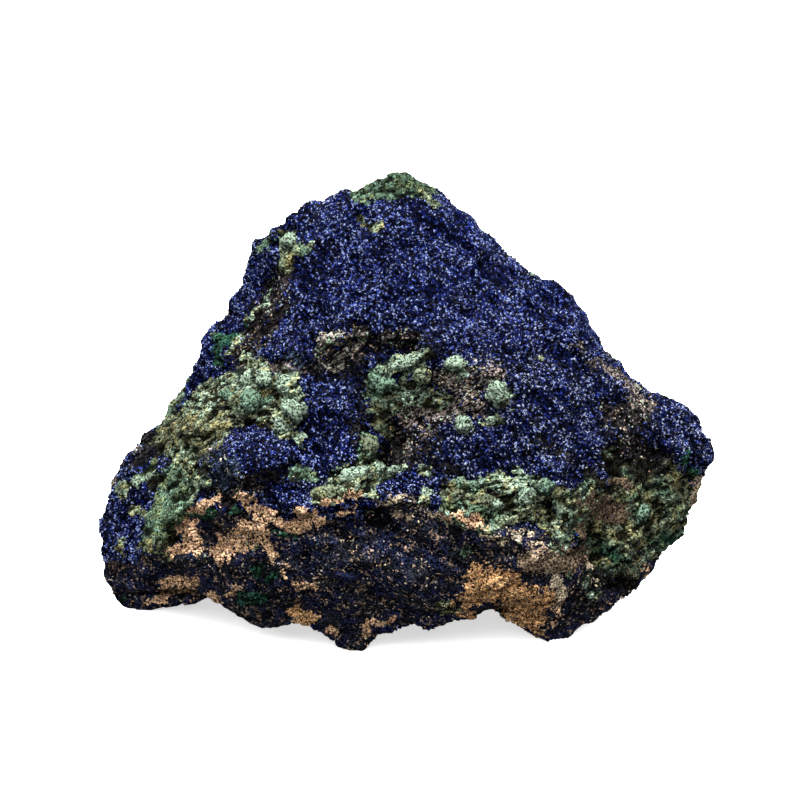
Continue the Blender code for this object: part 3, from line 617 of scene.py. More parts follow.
# The dark face under the ledge, and the far left toe, as the same kind of strokes.
LOWER_CRUST = [
    ((-45, -35), (-34, -30), 7.0), ((-34, -32), (-20, -33), 7.5), ((-20, -34), (12, -34), 11.0),
    ((12, -33), (28, -37), 8.0), ((-12, -40), (-8, -46), 6.0), ((-55, -36), (-48, -38), 5.0),
    ((38, -36), (48, -31), 4.0), ((28, -40), (36, -38), 5.0), ((-2, -25), (14, -28), 5.5),
    ((-40, -24), (-26, -24), 3.0), ((-37, -39), (-22, -44), 4.5), ((16, -27), (29, -28.5), 3.0),
    ((-48, -33), (-40, -41), 4.0), ((30, -45.5), (42, -39.5), 3.5),
]

# Facets where the blue crust is smooth: its relief is low, and its blades are small and lie close.
SMOOTH_FACETS = [
    ((10, 39), (30, 26), 4.5), ((30, 25), (42, 9), 3.0), ((-29, 29), (-32, 17), 3.5),
    ((-42, 4), (-54, -11), 2.8),
]
SMOOTHING = 0.65  # the share of the relief that is missing there

# Painted shade: under the lip and deep in hollows the crust is painted nearly black, its blue crystals are
# painted dark, and they are made fewer.
DEEP_SHADE = [  # where the blue crystals are few, small and nearly black: under the lip and deep in hollows
    ((-10, 11), (4, 10), 3.0), ((-16, 6), (-8, 7), 3.0), ((-7.5, 4), (-8, -8), 1.8),
    ((-1, -7.5), (6, -9), 2.5), ((-3, -10), (2, -12), 2.5), ((7, 4), (12, 3), 2.0),
    ((13, 2), (17, -2), 2.0), ((-27, -14.5), (-20, -15), 1.5), ((-36, -17), (-28, -17.5), 1.5),
    ((41, -4), (50, -12), 3.5), ((27, -8), (33, -11), 1.5), ((-25, 23), (-31, 8), 2.5),
    ((6, -12), (12, -14), 1.5), ((-9, -13), (-5, -12), 1.5),
]

# The fine roughness of each mineral: its wave, its seed, and how deep it is in millimetres.
GRAIN = {
    "azurite": (3.0, 810, 0.62), "malachite": (1.7, 820, 0.55), "limonite": (1.3, 830, 0.35),
    "matrix": (1.8, 840, 0.55), "dark": (1.5, 850, 0.35),
}
CURL_WAVE = 4.5  # terraces and strands wind about in this wave
CURL_SEEDS = (816, 817, 818)
# The azurite's roughness is rounded heads and two sizes of terraces that are long down to the right.
HEADS = 0.40
TERRACES = ((0.60, 0.6, 5.0, 812), (0.45, 0.9, 2.3, 815))  # share, how far they curl, wave and seed
TERRACE_STRETCH = (0.5, 0.8, 1.25)
RUN_DOWN = np.array([(0.77, 0.0, -0.64), (0.0, 1.0, 0.0), (0.64, 0.0, 0.77)])  # along them, and across
# The strands of malachite lie nearly flat, and the dark crust is in thin flat layers.
STRAND_CURL = 1.3
STRAND_STRETCH = (0.42, 0.8, 1.5)
RUN_UP = np.array([(0.95, 0.0, 0.31), (0.0, 1.0, 0.0), (-0.31, 0.0, 0.95)])
LAYER_STRETCH = (0.8, 0.8, 1.1)
HANG = (0.0, 0.0, -0.55)  # how far the crust's relief droops, so that its ridges overhang


def worms(points, wave, seed):
    """Rounded ridges that wind about: 1 where the noise crosses zero, falling to -1 away from it."""
    return 1 - 3.2 * np.abs(fractal(points, wave, 2, seed))


def clumps(points, wave, seed):
    """Rounded heads with narrow grooves between them: -1 where noise crosses zero, up to 1 away from it."""
    return np.clip(3.0 * np.abs(fractal(points, wave, 2, seed)) - 1, -1, 1)


def roughened(points, normals, shares):
    """The points after each mineral's own roughness, and how high each stands on it, from -1 to 1."""
    curls = np.stack([noise(points / CURL_WAVE, seed) for seed in CURL_SEEDS], axis=1)
    downward = points @ RUN_DOWN.T * TERRACE_STRETCH
    strands = points @ RUN_UP.T * STRAND_STRETCH + STRAND_CURL * curls
    waves, seeds, depths = ({name: grain[i] for name, grain in GRAIN.items()} for i in range(3))
    azurite = HEADS * clumps(points, waves["azurite"], seeds["azurite"])
    for share, curl, wave, seed in TERRACES:
        azurite = azurite + share * np.clip(worms(downward + curl * curls, wave, seed), -1, 1)
    layers = {
        "malachite": np.clip(worms(strands, waves["malachite"], seeds["malachite"]), -1, 1),
        "limonite": fractal(points, waves["limonite"], 2, seeds["limonite"]) + 0.4,
        "matrix": fractal(points, waves["matrix"], 3, seeds["matrix"]) - 0.5,
        "dark": fractal(points * LAYER_STRETCH, waves["dark"], 3, seeds["dark"]),
    }
    amount = {name: eased(shares[name], 0.35, 0.65) for name in ("dark", "matrix", "malachite", "limonite")}
    height = azurite
    depth = np.full(len(points), depths["azurite"])
    for name, share in amount.items():
        height = height + (layers[name] - height) * share
        depth = depth + (depths[name] - depth) * share
    depth *= 1 - SMOOTHING * shares["smooth"] * (1 - amount["malachite"])
    free = eased(points[:, 2], 0.3, 3.0)  # the feet stay flat
    moves = unit(normals + HANG * (eased(height, -0.2, 0.6) * (1 - amount["dark"]))[:, None])
    return points + (depth * height * free)[:, None] * moves, np.clip(height, -1, 1)


def piece_of(name, points, faces):
    """A mesh object whose place is in its mesh, from points in millimetres and faces of one corner count."""
    mesh = bpy.data.meshes.new(name)
    mesh.vertices.add(len(points))
    mesh.vertices.foreach_set("co", (points * MM).astype(np.float32).ravel())
    mesh.loops.add(faces.size)
    mesh.loops.foreach_set("vertex_index", faces.astype(np.int32).ravel())
    mesh.polygons.add(len(faces))
    mesh.polygons.foreach_set("loop_start", np.arange(0, faces.size, faces.shape[1], dtype=np.int32))
    mesh.update(calc_edges=True)
    piece = bpy.data.objects.new(name, mesh)
    bpy.context.scene.collection.objects.link(piece)
    return piece


def number_on_points(piece, name, values):
    """Stores one number, or one colour, for each point of the piece, for its material to read."""
    kind, field = ("FLOAT", "value") if values.ndim == 1 else ("FLOAT_COLOR", "color")
    if values.ndim == 2:
        values = np.column_stack([values, np.ones(len(values))])
    layer = piece.data.attributes.new(name, kind, "POINT")
    layer.data.foreach_set(field, values.astype(np.float32).ravel())


cube_places, lump_quads = ball_of_quads(GRID)
lump_directions = unit(unit(np.tan(cube_places * np.pi / 4)) + GRID_PULL)
smooth_lump = lump_points(lump_directions)
lump_shares, lump_tints = minerals(smooth_lump)
lump_surface, lump_height = roughened(smooth_lump, outward(smooth_lump, lump_quads), lump_shares)
lump_surface = lump_surface - BOX_MIDDLE
lump = piece_of("lump", lump_surface, lump_quads)
lump.data.shade_smooth()
for mineral, share in lump_shares.items():
    number_on_points(lump, mineral, share)
for mineral, tint in lump_tints.items():
    number_on_points(lump, mineral + "_tint", tint)
number_on_points(lump, "height", lump_height)


def new_material(name):
    """An empty material with its shader, ready for nodes."""
    material = bpy.data.materials.new(name)
    material.use_nodes = True
    return material.node_tree, material.node_tree.nodes["Principled BSDF"], material


def add_node(tree, kind, inputs, **settings):
    """A node with its settings made and each input linked to a socket or set to a value."""
    made = tree.nodes.new(kind)
    for name, value in settings.items():
        setattr(made, name, value)
    for name, value in inputs.items():
        if isinstance(value, bpy.types.NodeSocket):
            tree.links.new(value, made.inputs[name])
        else:
            made.inputs[name].default_value = value
    return made


def stored(tree, name, output="Fac"):
    return add_node(tree, "ShaderNodeAttribute", {}, attribute_name=name).outputs[output]


def grains(tree, wave, detail=2.0, lengths=None, rise=0.0, swirl=0.0):
    """Noise from 0 to 1 in space, with features about wave millimetres wide.

    lengths stretches them: along a line that rises to the right by so many degrees, along Y, and across.
    """
    place = add_node(tree, "ShaderNodeTexCoord", {}).outputs["Object"]
    if lengths:
        inputs = {"Vector": place, "Rotation": (0.0, -np.radians(rise), 0.0), "Scale": lengths}
        place = add_node(tree, "ShaderNodeMapping", inputs, vector_type="TEXTURE").outputs["Vector"]
    inputs = {"Vector": place, "Scale": 1 / (wave * MM), "Detail": detail, "Distortion": swirl}
    return add_node(tree, "ShaderNodeTexNoise", inputs).outputs["Fac"]


def reckon(tree, operation, first, second=0.0, third=0.0):
    inputs = {0: first, 1: second, 2: third}
    return add_node(tree, "ShaderNodeMath", inputs, operation=operation).outputs[0]


def between(tree, value, low, high, low_result=0.0, high_result=1.0):
    """Maps value from low..high to low_result..high_result, smoothly and without overshoot."""
    inputs = {"Value": value, "From Min": low, "From Max": high, "To Min": low_result, "To Max": high_result}
    return add_node(tree, "ShaderNodeMapRange", inputs, interpolation_type="SMOOTHSTEP").outputs["Result"]


def blended(tree, share, first, second, how="MIX"):
    inputs = {0: share, 6: first, 7: second}
    made = add_node(tree, "ShaderNodeMix", inputs, data_type="RGBA", blend_type=how)
    return made.outputs[2]


def toned(tree, tint, amount):
    """The tint made darker or lighter by a number."""
    grey = add_node(tree, "ShaderNodeCombineColor", {0: amount, 1: amount, 2: amount}).outputs[0]
    return blended(tree, 1.0, tint, grey, "MULTIPLY")


def product(tree, *numbers):
    total = numbers[0]
    for number in numbers[1:]:
        total = reckon(tree, "MULTIPLY", total, number)
    return total


def cell_pattern(tree, width):
    """Cells about width millimetres wide: a random number for each, and the distance from its middle."""
    place = add_node(tree, "ShaderNodeTexCoord", {}).outputs["Object"]
    cells = add_node(tree, "ShaderNodeTexVoronoi", {"Vector": place, "Scale": 1 / (width * MM)})
    number = add_node(tree, "ShaderNodeSeparateColor", {0: cells.outputs["Color"]}).outputs[0]
    return number, cells.outputs["Distance"]


def colour(red, green, blue):
    return (red, green, blue, 1.0)


CELL = 0.42  # width of the tiny crystals in millimetres
SLATE, NAVY = colour(0.017, 0.019, 0.028), colour(0.013, 0.017, 0.050)
# The second of these colours is painted shade: the near-black put into the deepest hollows.
RUST, SHADE_BLACK = colour(0.50, 0.35, 0.25), colour(0.030, 0.028, 0.030)
MALACHITE_CASTS = (colour(1.0, 1.0, 0.98), colour(1.30, 1.0, 0.70))  # the tint is multiplied by these
tree, shader, crust = new_material("mixed_crust")
fine = grains(tree, 0.45, 3.0)
middle = grains(tree, 1.3, 3.0)
broad = grains(tree, 5.0, 2.0)
specks = grains(tree, 0.7, 2.0)
height = stored(tree, "height")


def ragged(name, strength=0.5, sharp=0.06):
    """Where a mineral shows: its stored share, broken up at its edge by fine and middling noise."""
    stray = reckon(tree, "MULTIPLY_ADD", fine, strength, -strength / 2)
    stray = reckon(tree, "ADD", stray, reckon(tree, "MULTIPLY_ADD", middle, strength, -strength / 2))
    return between(tree, reckon(tree, "ADD", stored(tree, name), stray), 0.5 - sharp, 0.5 + sharp)


# The palest stops are painted glints: pale lavender that stands in for light reflected from the crystals.
AZURITE_STOPS = [  # where each shade lies between black and the palest glint
    (0.0, colour(0.0006, 0.0012, 0.006)), (0.26, colour(0.0015, 0.003, 0.022)),
    (0.45, colour(0.007, 0.015, 0.13)), (0.62, colour(0.029, 0.054, 0.41)),
    (0.80, colour(0.088, 0.15, 0.74)), (1.0, colour(0.50, 0.61, 1.0)),
]


def azurite_shades(tree, tone):
    """From black through deep blue to a pale painted glint as tone goes from 0 to 1."""
    ramp = add_node(tree, "ShaderNodeValToRGB", {"Fac": tone})
    stops = ramp.color_ramp.elements
    for place, shade in AZURITE_STOPS[1:-1]:
        stops.new(place)
    for stop, (_, shade) in zip(stops, AZURITE_STOPS):
        stop.color = shade
    return ramp.outputs["Color"]


# The crust between the blades is of tiny crystals too: cells, each with its own shade and a low peak.
cell_shade, cell_distance = cell_pattern(tree, CELL)
cell_tone = reckon(tree, "MULTIPLY_ADD", middle, 0.3, reckon(tree, "POWER", cell_shade, 2.4))
cell_tone = reckon(tree, "SUBTRACT", cell_tone, 0.24)
# Painted shade and light: the cells are painted darker in low places and lighter on high ones.
navy = azurite_shades(tree, product(tree, cell_tone, between(tree, height, -0.6, 0.4, 0.7, 1.1)))

# The dark crust of the lower face is slate to navy, with rusty specks.
slate = blended(tree, between(tree, broad, 0.42, 0.58), SLATE, NAVY)
# Painted shade and light: the slate is painted darker in low places and lighter on high ones, over fine
# mottling.
shade = product(tree, between(tree, fine, 0.38, 0.60, 0.10, 2.4), between(tree, height, -0.8, 0.8, 0.4, 1.5))
slate = toned(tree, slate, shade)
speckled = between(tree, reckon(tree, "MULTIPLY_ADD", middle, 0.9, fine), 1.06, 1.10)
speckled = product(tree, speckled, between(tree, specks, 0.38, 0.5))
slate = blended(tree, speckled, slate, toned(tree, RUST, between(tree, specks, 0.3, 0.7, 0.5, 1.3)))
surface = blended(tree, ragged("dark"), navy, slate)
# Painted shade: in the strokes of deep shade the crust is painted near-black.
painted_deep_shade = toned(tree, SHADE_BLACK, between(tree, fine, 0.35, 0.65, 0.1, 2.5))
surface = blended(tree, ragged("deep_shade"), surface, painted_deep_shade)

# Matrix, malachite and limonite have their stored tints, with painted shade in pits. Malachite and limonite
# also get painted shade in the crevices between winding strands and painted light on the strands' crests,
# and malachite painted shade in low places.
painted_low_shade = between(tree, height, -0.8, 0.5, 0.07, 1.15)
painted_pit_shade = between(tree, fine, 0.40, 0.54, 0.04, 1.2)
strands = grains(tree, 1.0, detail=4.0, lengths=(2.4, 1.2, 0.6), rise=18.0, swirl=1.0)
painted_crevice_shade = reckon(tree, "ABSOLUTE", reckon(tree, "SUBTRACT", strands, 0.5))
painted_crevice_shade = between(tree, painted_crevice_shade, 0.0, 0.035, 0.05, 1.0)
painted_crest_light = between(tree, strands, 0.40, 0.68, 0.60, 1.60)
fibres = grains(tree, 0.8, detail=4.0, lengths=(3.2, 1.2, 0.6), rise=33.0, swirl=0.8)
shade = product(tree, between(tree, fibres, 0.43, 0.62, 0.05, 3.8), painted_pit_shade)
matrix_colour = toned(tree, stored(tree, "matrix_tint", "Color"), shade)
surface = blended(tree, ragged("matrix", 0.9), surface, matrix_colour)
mossy = blended(tree, between(tree, grains(tree, 2.2), 0.42, 0.62), *MALACHITE_CASTS)
malachite_colour = blended(tree, 1.0, stored(tree, "malachite_tint", "Color"), mossy, "MULTIPLY")
malachite_colour = toned(tree, malachite_colour, product(tree, painted_low_shade, painted_pit_shade, painted_crevice_shade, painted_crest_light))
surface = blended(tree, ragged("malachite"), surface, malachite_colour)
shade = product(tree, painted_pit_shade, painted_crest_light, painted_crevice_shade, 1.15)
limonite_colour = toned(tree, stored(tree, "limonite_tint", "Color"), shade)
surface = blended(tree, ragged("limonite", 1.1), surface, limonite_colour)
tree.links.new(surface, shader.inputs["Base Color"])

# The earthy minerals are dull, and the crystals glossy. The cells' peaks fade out under the earthy ones.
earthy = reckon(tree, "MAXIMUM", ragged("malachite"), ragged("limonite", 1.1))
earthy = reckon(tree, "MAXIMUM", earthy, ragged("matrix", 0.9))
tree.links.new(between(tree, earthy, 0.0, 1.0, 0.38, 0.85), shader.inputs["Roughness"])
shader.inputs["Specular IOR Level"].default_value = 0.06
relief = reckon(tree, "MULTIPLY_ADD", strands, 0.6, reckon(tree, "MULTIPLY", middle, 0.5))
relief = reckon(tree, "MULTIPLY_ADD", fine, 0.6, relief)
peaks = product(tree, cell_distance, reckon(tree, "SUBTRACT", 1.0, earthy), -0.8)
relief = reckon(tree, "ADD", relief, peaks)
bump = add_node(tree, "ShaderNodeBump", {"Height": relief, "Strength": 1.0, "Distance": 0.7 * MM})
tree.links.new(bump.outputs["Normal"], shader.inputs["Normal"])
lump.data.materials.append(crust)
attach(lump, "root")
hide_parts("azurite_specimen")

# ---------------------------------------------------------------------------------------------------
# THE AZURITE CRYSTALS. Thousands of sharp blades under a millimetre long that stand packed on the
# blue parts of the crust. They grow straight out of it, leaning together in little sheaves.
# ---------------------------------------------------------------------------------------------------
BLADE = np.array([  # one unit wide and long: a pointed foot, four shoulders and a tip to one side
    (0.03, -0.02, -0.5), (0.50, -0.36, 0.10), (0.42, 0.40, 0.0), (-0.46, 0.36, 0.16), (-0.50, -0.42, 0.02),
    (0.14, -0.05, 0.5),
])
BLADE_FACES = np.array([
    (0, 2, 1), (0, 3, 2), (0, 4, 3), (0, 1, 4), (1, 2, 5), (2, 3, 5), (3, 4, 5), (4, 1, 5),
])


TRIES = 6  # places that are tried for each that may be kept


def scattered(surface, quads, chances, spacing, most, draw):
    """Random places on the quads, as many as most, no two in one cube that is spacing wide.

    A quad's chance is its area times chances. Returns the places, the quads' normals and the quads.
    """
    corners = surface[quads]
    crossed = np.cross(corners[:, 2] - corners[:, 0], corners[:, 3] - corners[:, 1])
    area = np.linalg.norm(crossed, axis=1) / 2
    weight = area * chances
    picked = draw.choice(len(quads), size=TRIES * most, p=weight / weight.sum())
    across, down = draw.random((2, len(picked), 1))
    near = corners[picked, 0] * (1 - across) + corners[picked, 1] * across
    far = corners[picked, 3] * (1 - across) + corners[picked, 2] * across
    places = near * (1 - down) + far * down
    _, first = np.unique(np.floor(places / spacing).astype(int), axis=0, return_index=True)
    first = draw.permutation(first)[:most]
    picked = picked[first]
    return places[first], crossed[picked] / (2 * area[picked, None]), picked


def frames(axes, roll):
    """Three square directions for each axis: the third is the axis, the first two are rolled about it."""
    helper = np.where(np.abs(axes[:, 2:]) < 0.9, (0.0, 0.0, 1.0), (1.0, 0.0, 0.0))
    first = unit(np.cross(helper, axes))
    second = np.cross(axes, first)
    turned = first * np.cos(roll)[:, None] + second * np.sin(roll)[:, None]
    return np.stack([turned, np.cross(axes, turned), axes], axis=1)


def copies(shape, shape_faces, places, axes_of, sizes):
    """The shape put at each place: scaled by its three sizes, turned by its frame, and moved there."""
    scaled = np.broadcast_to(shape, (len(places), *shape.shape[-2:])) * sizes[:, None, :]
    points = np.einsum("nvi,nij->nvj", scaled, axes_of) + places[:, None]
    faces = shape_faces[None] + (np.arange(len(places)) * shape.shape[-2])[:, None, None]
    return points.reshape(-1, 3), faces.reshape(-1, shape_faces.shape[1])


def sheaf_lean(places, wave, seed):
    """A smooth random vector at each place, the same for neighbours, so blades near each other agree."""
    return np.stack([fractal(places, wave, 2, seed + i) for i in range(3)], axis=1)


quad_shares = {name: share[lump_quads].mean(axis=1) for name, share in lump_shares.items()}
quad_middle = smooth_lump[lump_quads].mean(axis=1)
quad_height = lump_height[lump_quads].mean(axis=1)
blue = 1 - eased(np.maximum(quad_shares["malachite"], quad_shares["limonite"]), 0.42, 0.52)
blue *= 1 - 0.97 * eased(quad_shares["matrix"], 0.42, 0.55)
blue *= 1 - eased(quad_shares["dark"], 0.42, 0.55)
blue *= 0.12 + 0.88 * eased(quad_height, -0.6, 0.2)
blue *= 0.4 + 0.6 * eased(fractal(quad_middle, 1.2, 2, 903), -0.25, 0.35)
blue *= 1 - 0.85 * quad_shares["deep_shade"]
blue *= quad_middle[:, 2] > 2.5  # none on the feet

# The blades of the front and the back: their spacing, and the smallest and largest width and length.
FRONT_BLADES = (0.36, (0.30, 0.72), (0.5, 1.15))
BACK_BLADES = (0.85, (0.60, 1.15), (0.6, 1.2))
CRYSTAL_SEEDS = {
    "druse_upper_left": 1001, "druse_upper_right": 1002, "druse_hollow": 1003, "druse_back": 1004,
}
MOST_BLADES = 18500
SHEAF_WAVE = 2.2  # how far apart the sheaves are whose blades lean together
TURN_WAVE = 3.0  # and in what wave they are turned about their length
SMALLER, STRAIGHTER = 0.45, 0.6  # how much smaller and less leaning the blades are on smooth facets
# How light a blade is: noise (strength, wave, octaves, seed) and its place, then a random painted glint.
TONE_NOISE = ((0.06, 6.0, 3, 1200), (0.04, 1.6, 2, 1210))
BUNCH_TONE, BUNCH_WAVE = 0.30, 0.6
# Painted light and shade: blades on ridges are painted lighter, and those in deep shade and in the left of
# the hollow darker.
RIDGE_TONE, FACET_TONE, DEEP_SHADE_TONE, LEFT_TONE, LEAST_TONE = 0.11, 0.10, -0.35, -0.06, -0.04
PAINTED_GLINT, PAINTED_GLINT_RARENESS = 1.2, 2.15
# Painted shade: the blades in the grooves are painted darker.
GROOVE_SHADE = 0.75  # how light the blades in the grooves are, next to those on the ridges
FACET = 0.27  # width of the little facets that a blade's sides are broken into, each with its own shade
DULL_CAST = colour(1.20, 1.10, 0.88)  # what the colour is multiplied by where the crust is greyer

tree, shader, azurite = new_material("azurite_crystal")
facet_shade, _ = cell_pattern(tree, FACET)
tone = product(tree, stored(tree, "tone"), reckon(tree, "MULTIPLY_ADD", facet_shade, 1.5, 0.25))
# Painted shade: each blade is painted nearly black at its foot, where its neighbours shade it, up to full
# colour at its tip.
painted_shade_foot_to_tip = between(tree, stored(tree, "rise"), 0.35, 0.95, 0.03, 1.0)
crystal_colour = toned(tree, azurite_shades(tree, tone), painted_shade_foot_to_tip)
crystal_colour = blended(tree, stored(tree, "dull"), crystal_colour, DULL_CAST, "MULTIPLY")
tree.links.new(crystal_colour, shader.inputs["Base Color"])
tree.links.new(between(tree, grains(tree, 0.5), 0.35, 0.65, 0.08, 0.20), shader.inputs["Roughness"])
shader.inputs["IOR"].default_value = 1.76
shader.inputs["Specular IOR Level"].default_value = 0.07

front = 1 - eased(quad_middle[:, 1], 6.0, 12.0)
_, quad_chart = sight_lines(quad_middle)
upper = eased(quad_chart[:, 1] + 0.25 * quad_chart[:, 0] * (quad_chart[:, 0] > 0), 4.0, 6.0)
leftward = quad_chart[:, 0] < 2
regions = {
    "druse_upper_left": front * upper * leftward, "druse_upper_right": front * upper * ~leftward,
    "druse_hollow": front * (1 - upper), "druse_back": 1 - front,
}


def blade_tones(places, picked, draw):
    """How light each blade is, from 0 to 1.

    Broad and fine noise, lighter on smooth facets, painted lighter on ridges and painted darker as shade in
    the strokes of deep shade and in the left of the hollow, plus a random number to a power, so that a few
    blades are painted as pale glints, all painted darker in the grooves as shade.
    """
    across, up = quad_chart[picked].T
    tone = BUNCH_TONE * noise(places / BUNCH_WAVE, 1220) + LEAST_TONE
    for strength, wave, octaves, seed in TONE_NOISE:
        tone += strength * fractal(places, wave, octaves, seed)
    tone += RIDGE_TONE * quad_height[picked] + FACET_TONE * quad_shares["smooth"][picked]
    tone += DEEP_SHADE_TONE * quad_shares["deep_shade"][picked]
    tone += LEFT_TONE * eased(across, -46, -38) * (1 - eased(across, -4, 2)) * (1 - eased(up, 4, 9))
    tone += PAINTED_GLINT * draw.random(len(places)) ** PAINTED_GLINT_RARENESS
    groove = GROOVE_SHADE + (1 - GROOVE_SHADE) * eased(quad_height[picked], -0.6, 0.35)
    return np.clip(tone * groove, 0, 1)


for name, seed in CRYSTAL_SEEDS.items():
    spacing, widths, lengths = BACK_BLADES if name == "druse_back" else FRONT_BLADES
    draw = np.random.default_rng(seed)
    places, normals, picked = scattered(
        lump_surface, lump_quads, blue * regions[name], spacing, MOST_BLADES, draw
    )
    count = len(places)
    smooth = quad_shares["smooth"][picked]
    lean = 0.8 * sheaf_lean(places, SHEAF_WAVE, seed) + 0.5 * draw.normal(size=(count, 3))
    lean *= (1 - STRAIGHTER * smooth)[:, None]
    roll = 6.0 * fractal(places, TURN_WAVE, 1, seed + 9) + draw.normal(0, 0.5, count)
    wide = draw.uniform(*widths, count)
    sizes = np.stack([wide, wide * draw.uniform(0.25, 0.8, count), draw.uniform(*lengths, count)], axis=1)
    sizes *= (1 - SMALLER * smooth)[:, None]
    points, faces = copies(BLADE, BLADE_FACES, places, frames(unit(normals + lean), roll), sizes)
    druse = piece_of(name, points, faces)
    across, up = quad_chart[picked].T
    dull = eased(across, 2, 10) * (1 - eased(up, 6, 18)) * front[picked]
    number_on_points(druse, "tone", np.repeat(blade_tones(places, picked, draw), len(BLADE)))
    number_on_points(druse, "dull", np.repeat(dull, len(BLADE)))
    number_on_points(druse, "rise", np.tile(BLADE[:, 2] + 0.5, count))
    druse.data.materials.append(azurite)
    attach(druse, "root")

# ---------------------------------------------------------------------------------------------------
# THE MALACHITE CRUST. Rounded warts of green malachite from a third of a millimetre to a millimetre
# across, grown together over the green parts. Each is a dented ball sunk half way into the crust.
# ---------------------------------------------------------------------------------------------------
def round_ball(cuts):
    """A ball of one unit radius: the cube's grid, spaced by equal angles and pushed out to the sphere."""
    places, quads = ball_of_quads(cuts)
    return unit(np.tan(places * np.pi / 4)), quads


def dented_balls(cuts, kinds, dent, seed):
    """Balls of one unit radius on grids of quads, each dented by its own stretch of noise."""
    directions, quads = round_ball(cuts)
    bumps = np.stack([fractal(directions + 10 * kind, 1.1, 2, seed) for kind in range(kinds)])
    return directions * (1 + dent * bumps)[..., None], quads


def grown(name, chances, shapes, quads, tints, material, spacing, most, seed, widths, heights, sink):
    """A piece of copies of the shapes scattered on the crust, with each copy's tint and each point's rise.

    widths and heights are half sizes, smallest and largest. Copies are sunk by a share of their height.
    """
    draw = np.random.default_rng(seed)
    places, normals, picked = scattered(lump_surface, lump_quads, chances, spacing, most, draw)
    count = len(places)
    wide = draw.uniform(*widths, count)
    size = np.stack([wide, wide * draw.uniform(0.7, 1.9, count), draw.uniform(*heights, count)], axis=1)
    axes = unit(normals + 0.3 * draw.normal(size=(count, 3)))
    places = places - axes * size[:, 2:] * sink
    kind = draw.integers(len(shapes), size=count)
    points, faces = copies(shapes[kind], quads, places, frames(axes, draw.uniform(0, 6.3, count)), size)
    points[:, 2] = np.maximum(points[:, 2], 0)
    piece = piece_of(name, points, faces)
    tint = tints[picked] * draw.uniform(0.75, 1.2, (count, 1)) * draw.uniform(0.93, 1.07, (count, 3))
    number_on_points(piece, "tint", np.repeat(tint, shapes.shape[1], axis=0))
    number_on_points(piece, "rise", shapes[kind][..., 2].ravel())
    piece.data.materials.append(material)
    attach(piece, "root")
    return piece


def wart_material(name, pit_size, painted_pit_shade, tip=1.25):
    """The copies' tint, with painted shade towards their feet and in fine pits and painted light at their
    tips, over a grainy bump.
    """
    tree, shader, material = new_material(name)
    grain = grains(tree, pit_size, 3.0)
    # Painted shade and light: darker where the rise is low, lighter up to tip where it is high.
    painted_shade_foot_to_tip = between(tree, stored(tree, "rise"), -0.3, 0.9, 0.10, tip)
    shade = product(tree, painted_shade_foot_to_tip, between(tree, grain, 0.40, 0.56, painted_pit_shade, 1.25))
    tree.links.new(toned(tree, stored(tree, "tint", "Color"), shade), shader.inputs["Base Color"])
    shader.inputs["Roughness"].default_value = 0.9
    shader.inputs["Specular IOR Level"].default_value = 0.2
    bump = add_node(tree, "ShaderNodeBump", {"Height": grain, "Strength": 0.9, "Distance": 0.3 * MM})
    tree.links.new(bump.outputs["Normal"], shader.inputs["Normal"])
    return material


def from_points(values):
    """The mean over each quad of the lump of values that are given at its points."""
    return values[lump_quads].mean(axis=1)


malachite_wart = wart_material("malachite_wart", pit_size=0.38, painted_pit_shade=0.05)
warts, wart_quads = dented_balls(cuts=2, kinds=10, dent=0.55, seed=2001)
# Where the malachite is in flat-lying strands, and bears few warts.
STRANDED = [((-42, -3), (-36, -6), 5.0), ((-42, -8), (-46, -27), 6.0), ((38, -20), (52, -24), 9.0)]
green = eased(quad_shares["malachite"], 0.46, 0.56) * (1 - eased(quad_shares["limonite"], 0.5, 0.6))
green = green * (0.12 + 0.88 * front) * (0.2 + 0.8 * eased(quad_height, -0.5, 0.4))
green *= 1 - 0.85 * eased(closeness(quad_chart, STRANDED), 0.0, 0.3) * front
crust_warts = grown(
    "malachite_warts", green, warts, wart_quads, from_points(lump_tints["malachite"]), malachite_wart,
    spacing=0.55, most=1900, seed=2002, widths=(0.22, 0.48), heights=(0.25, 0.5), sink=0.45,
)
crust_warts.data.shade_smooth()

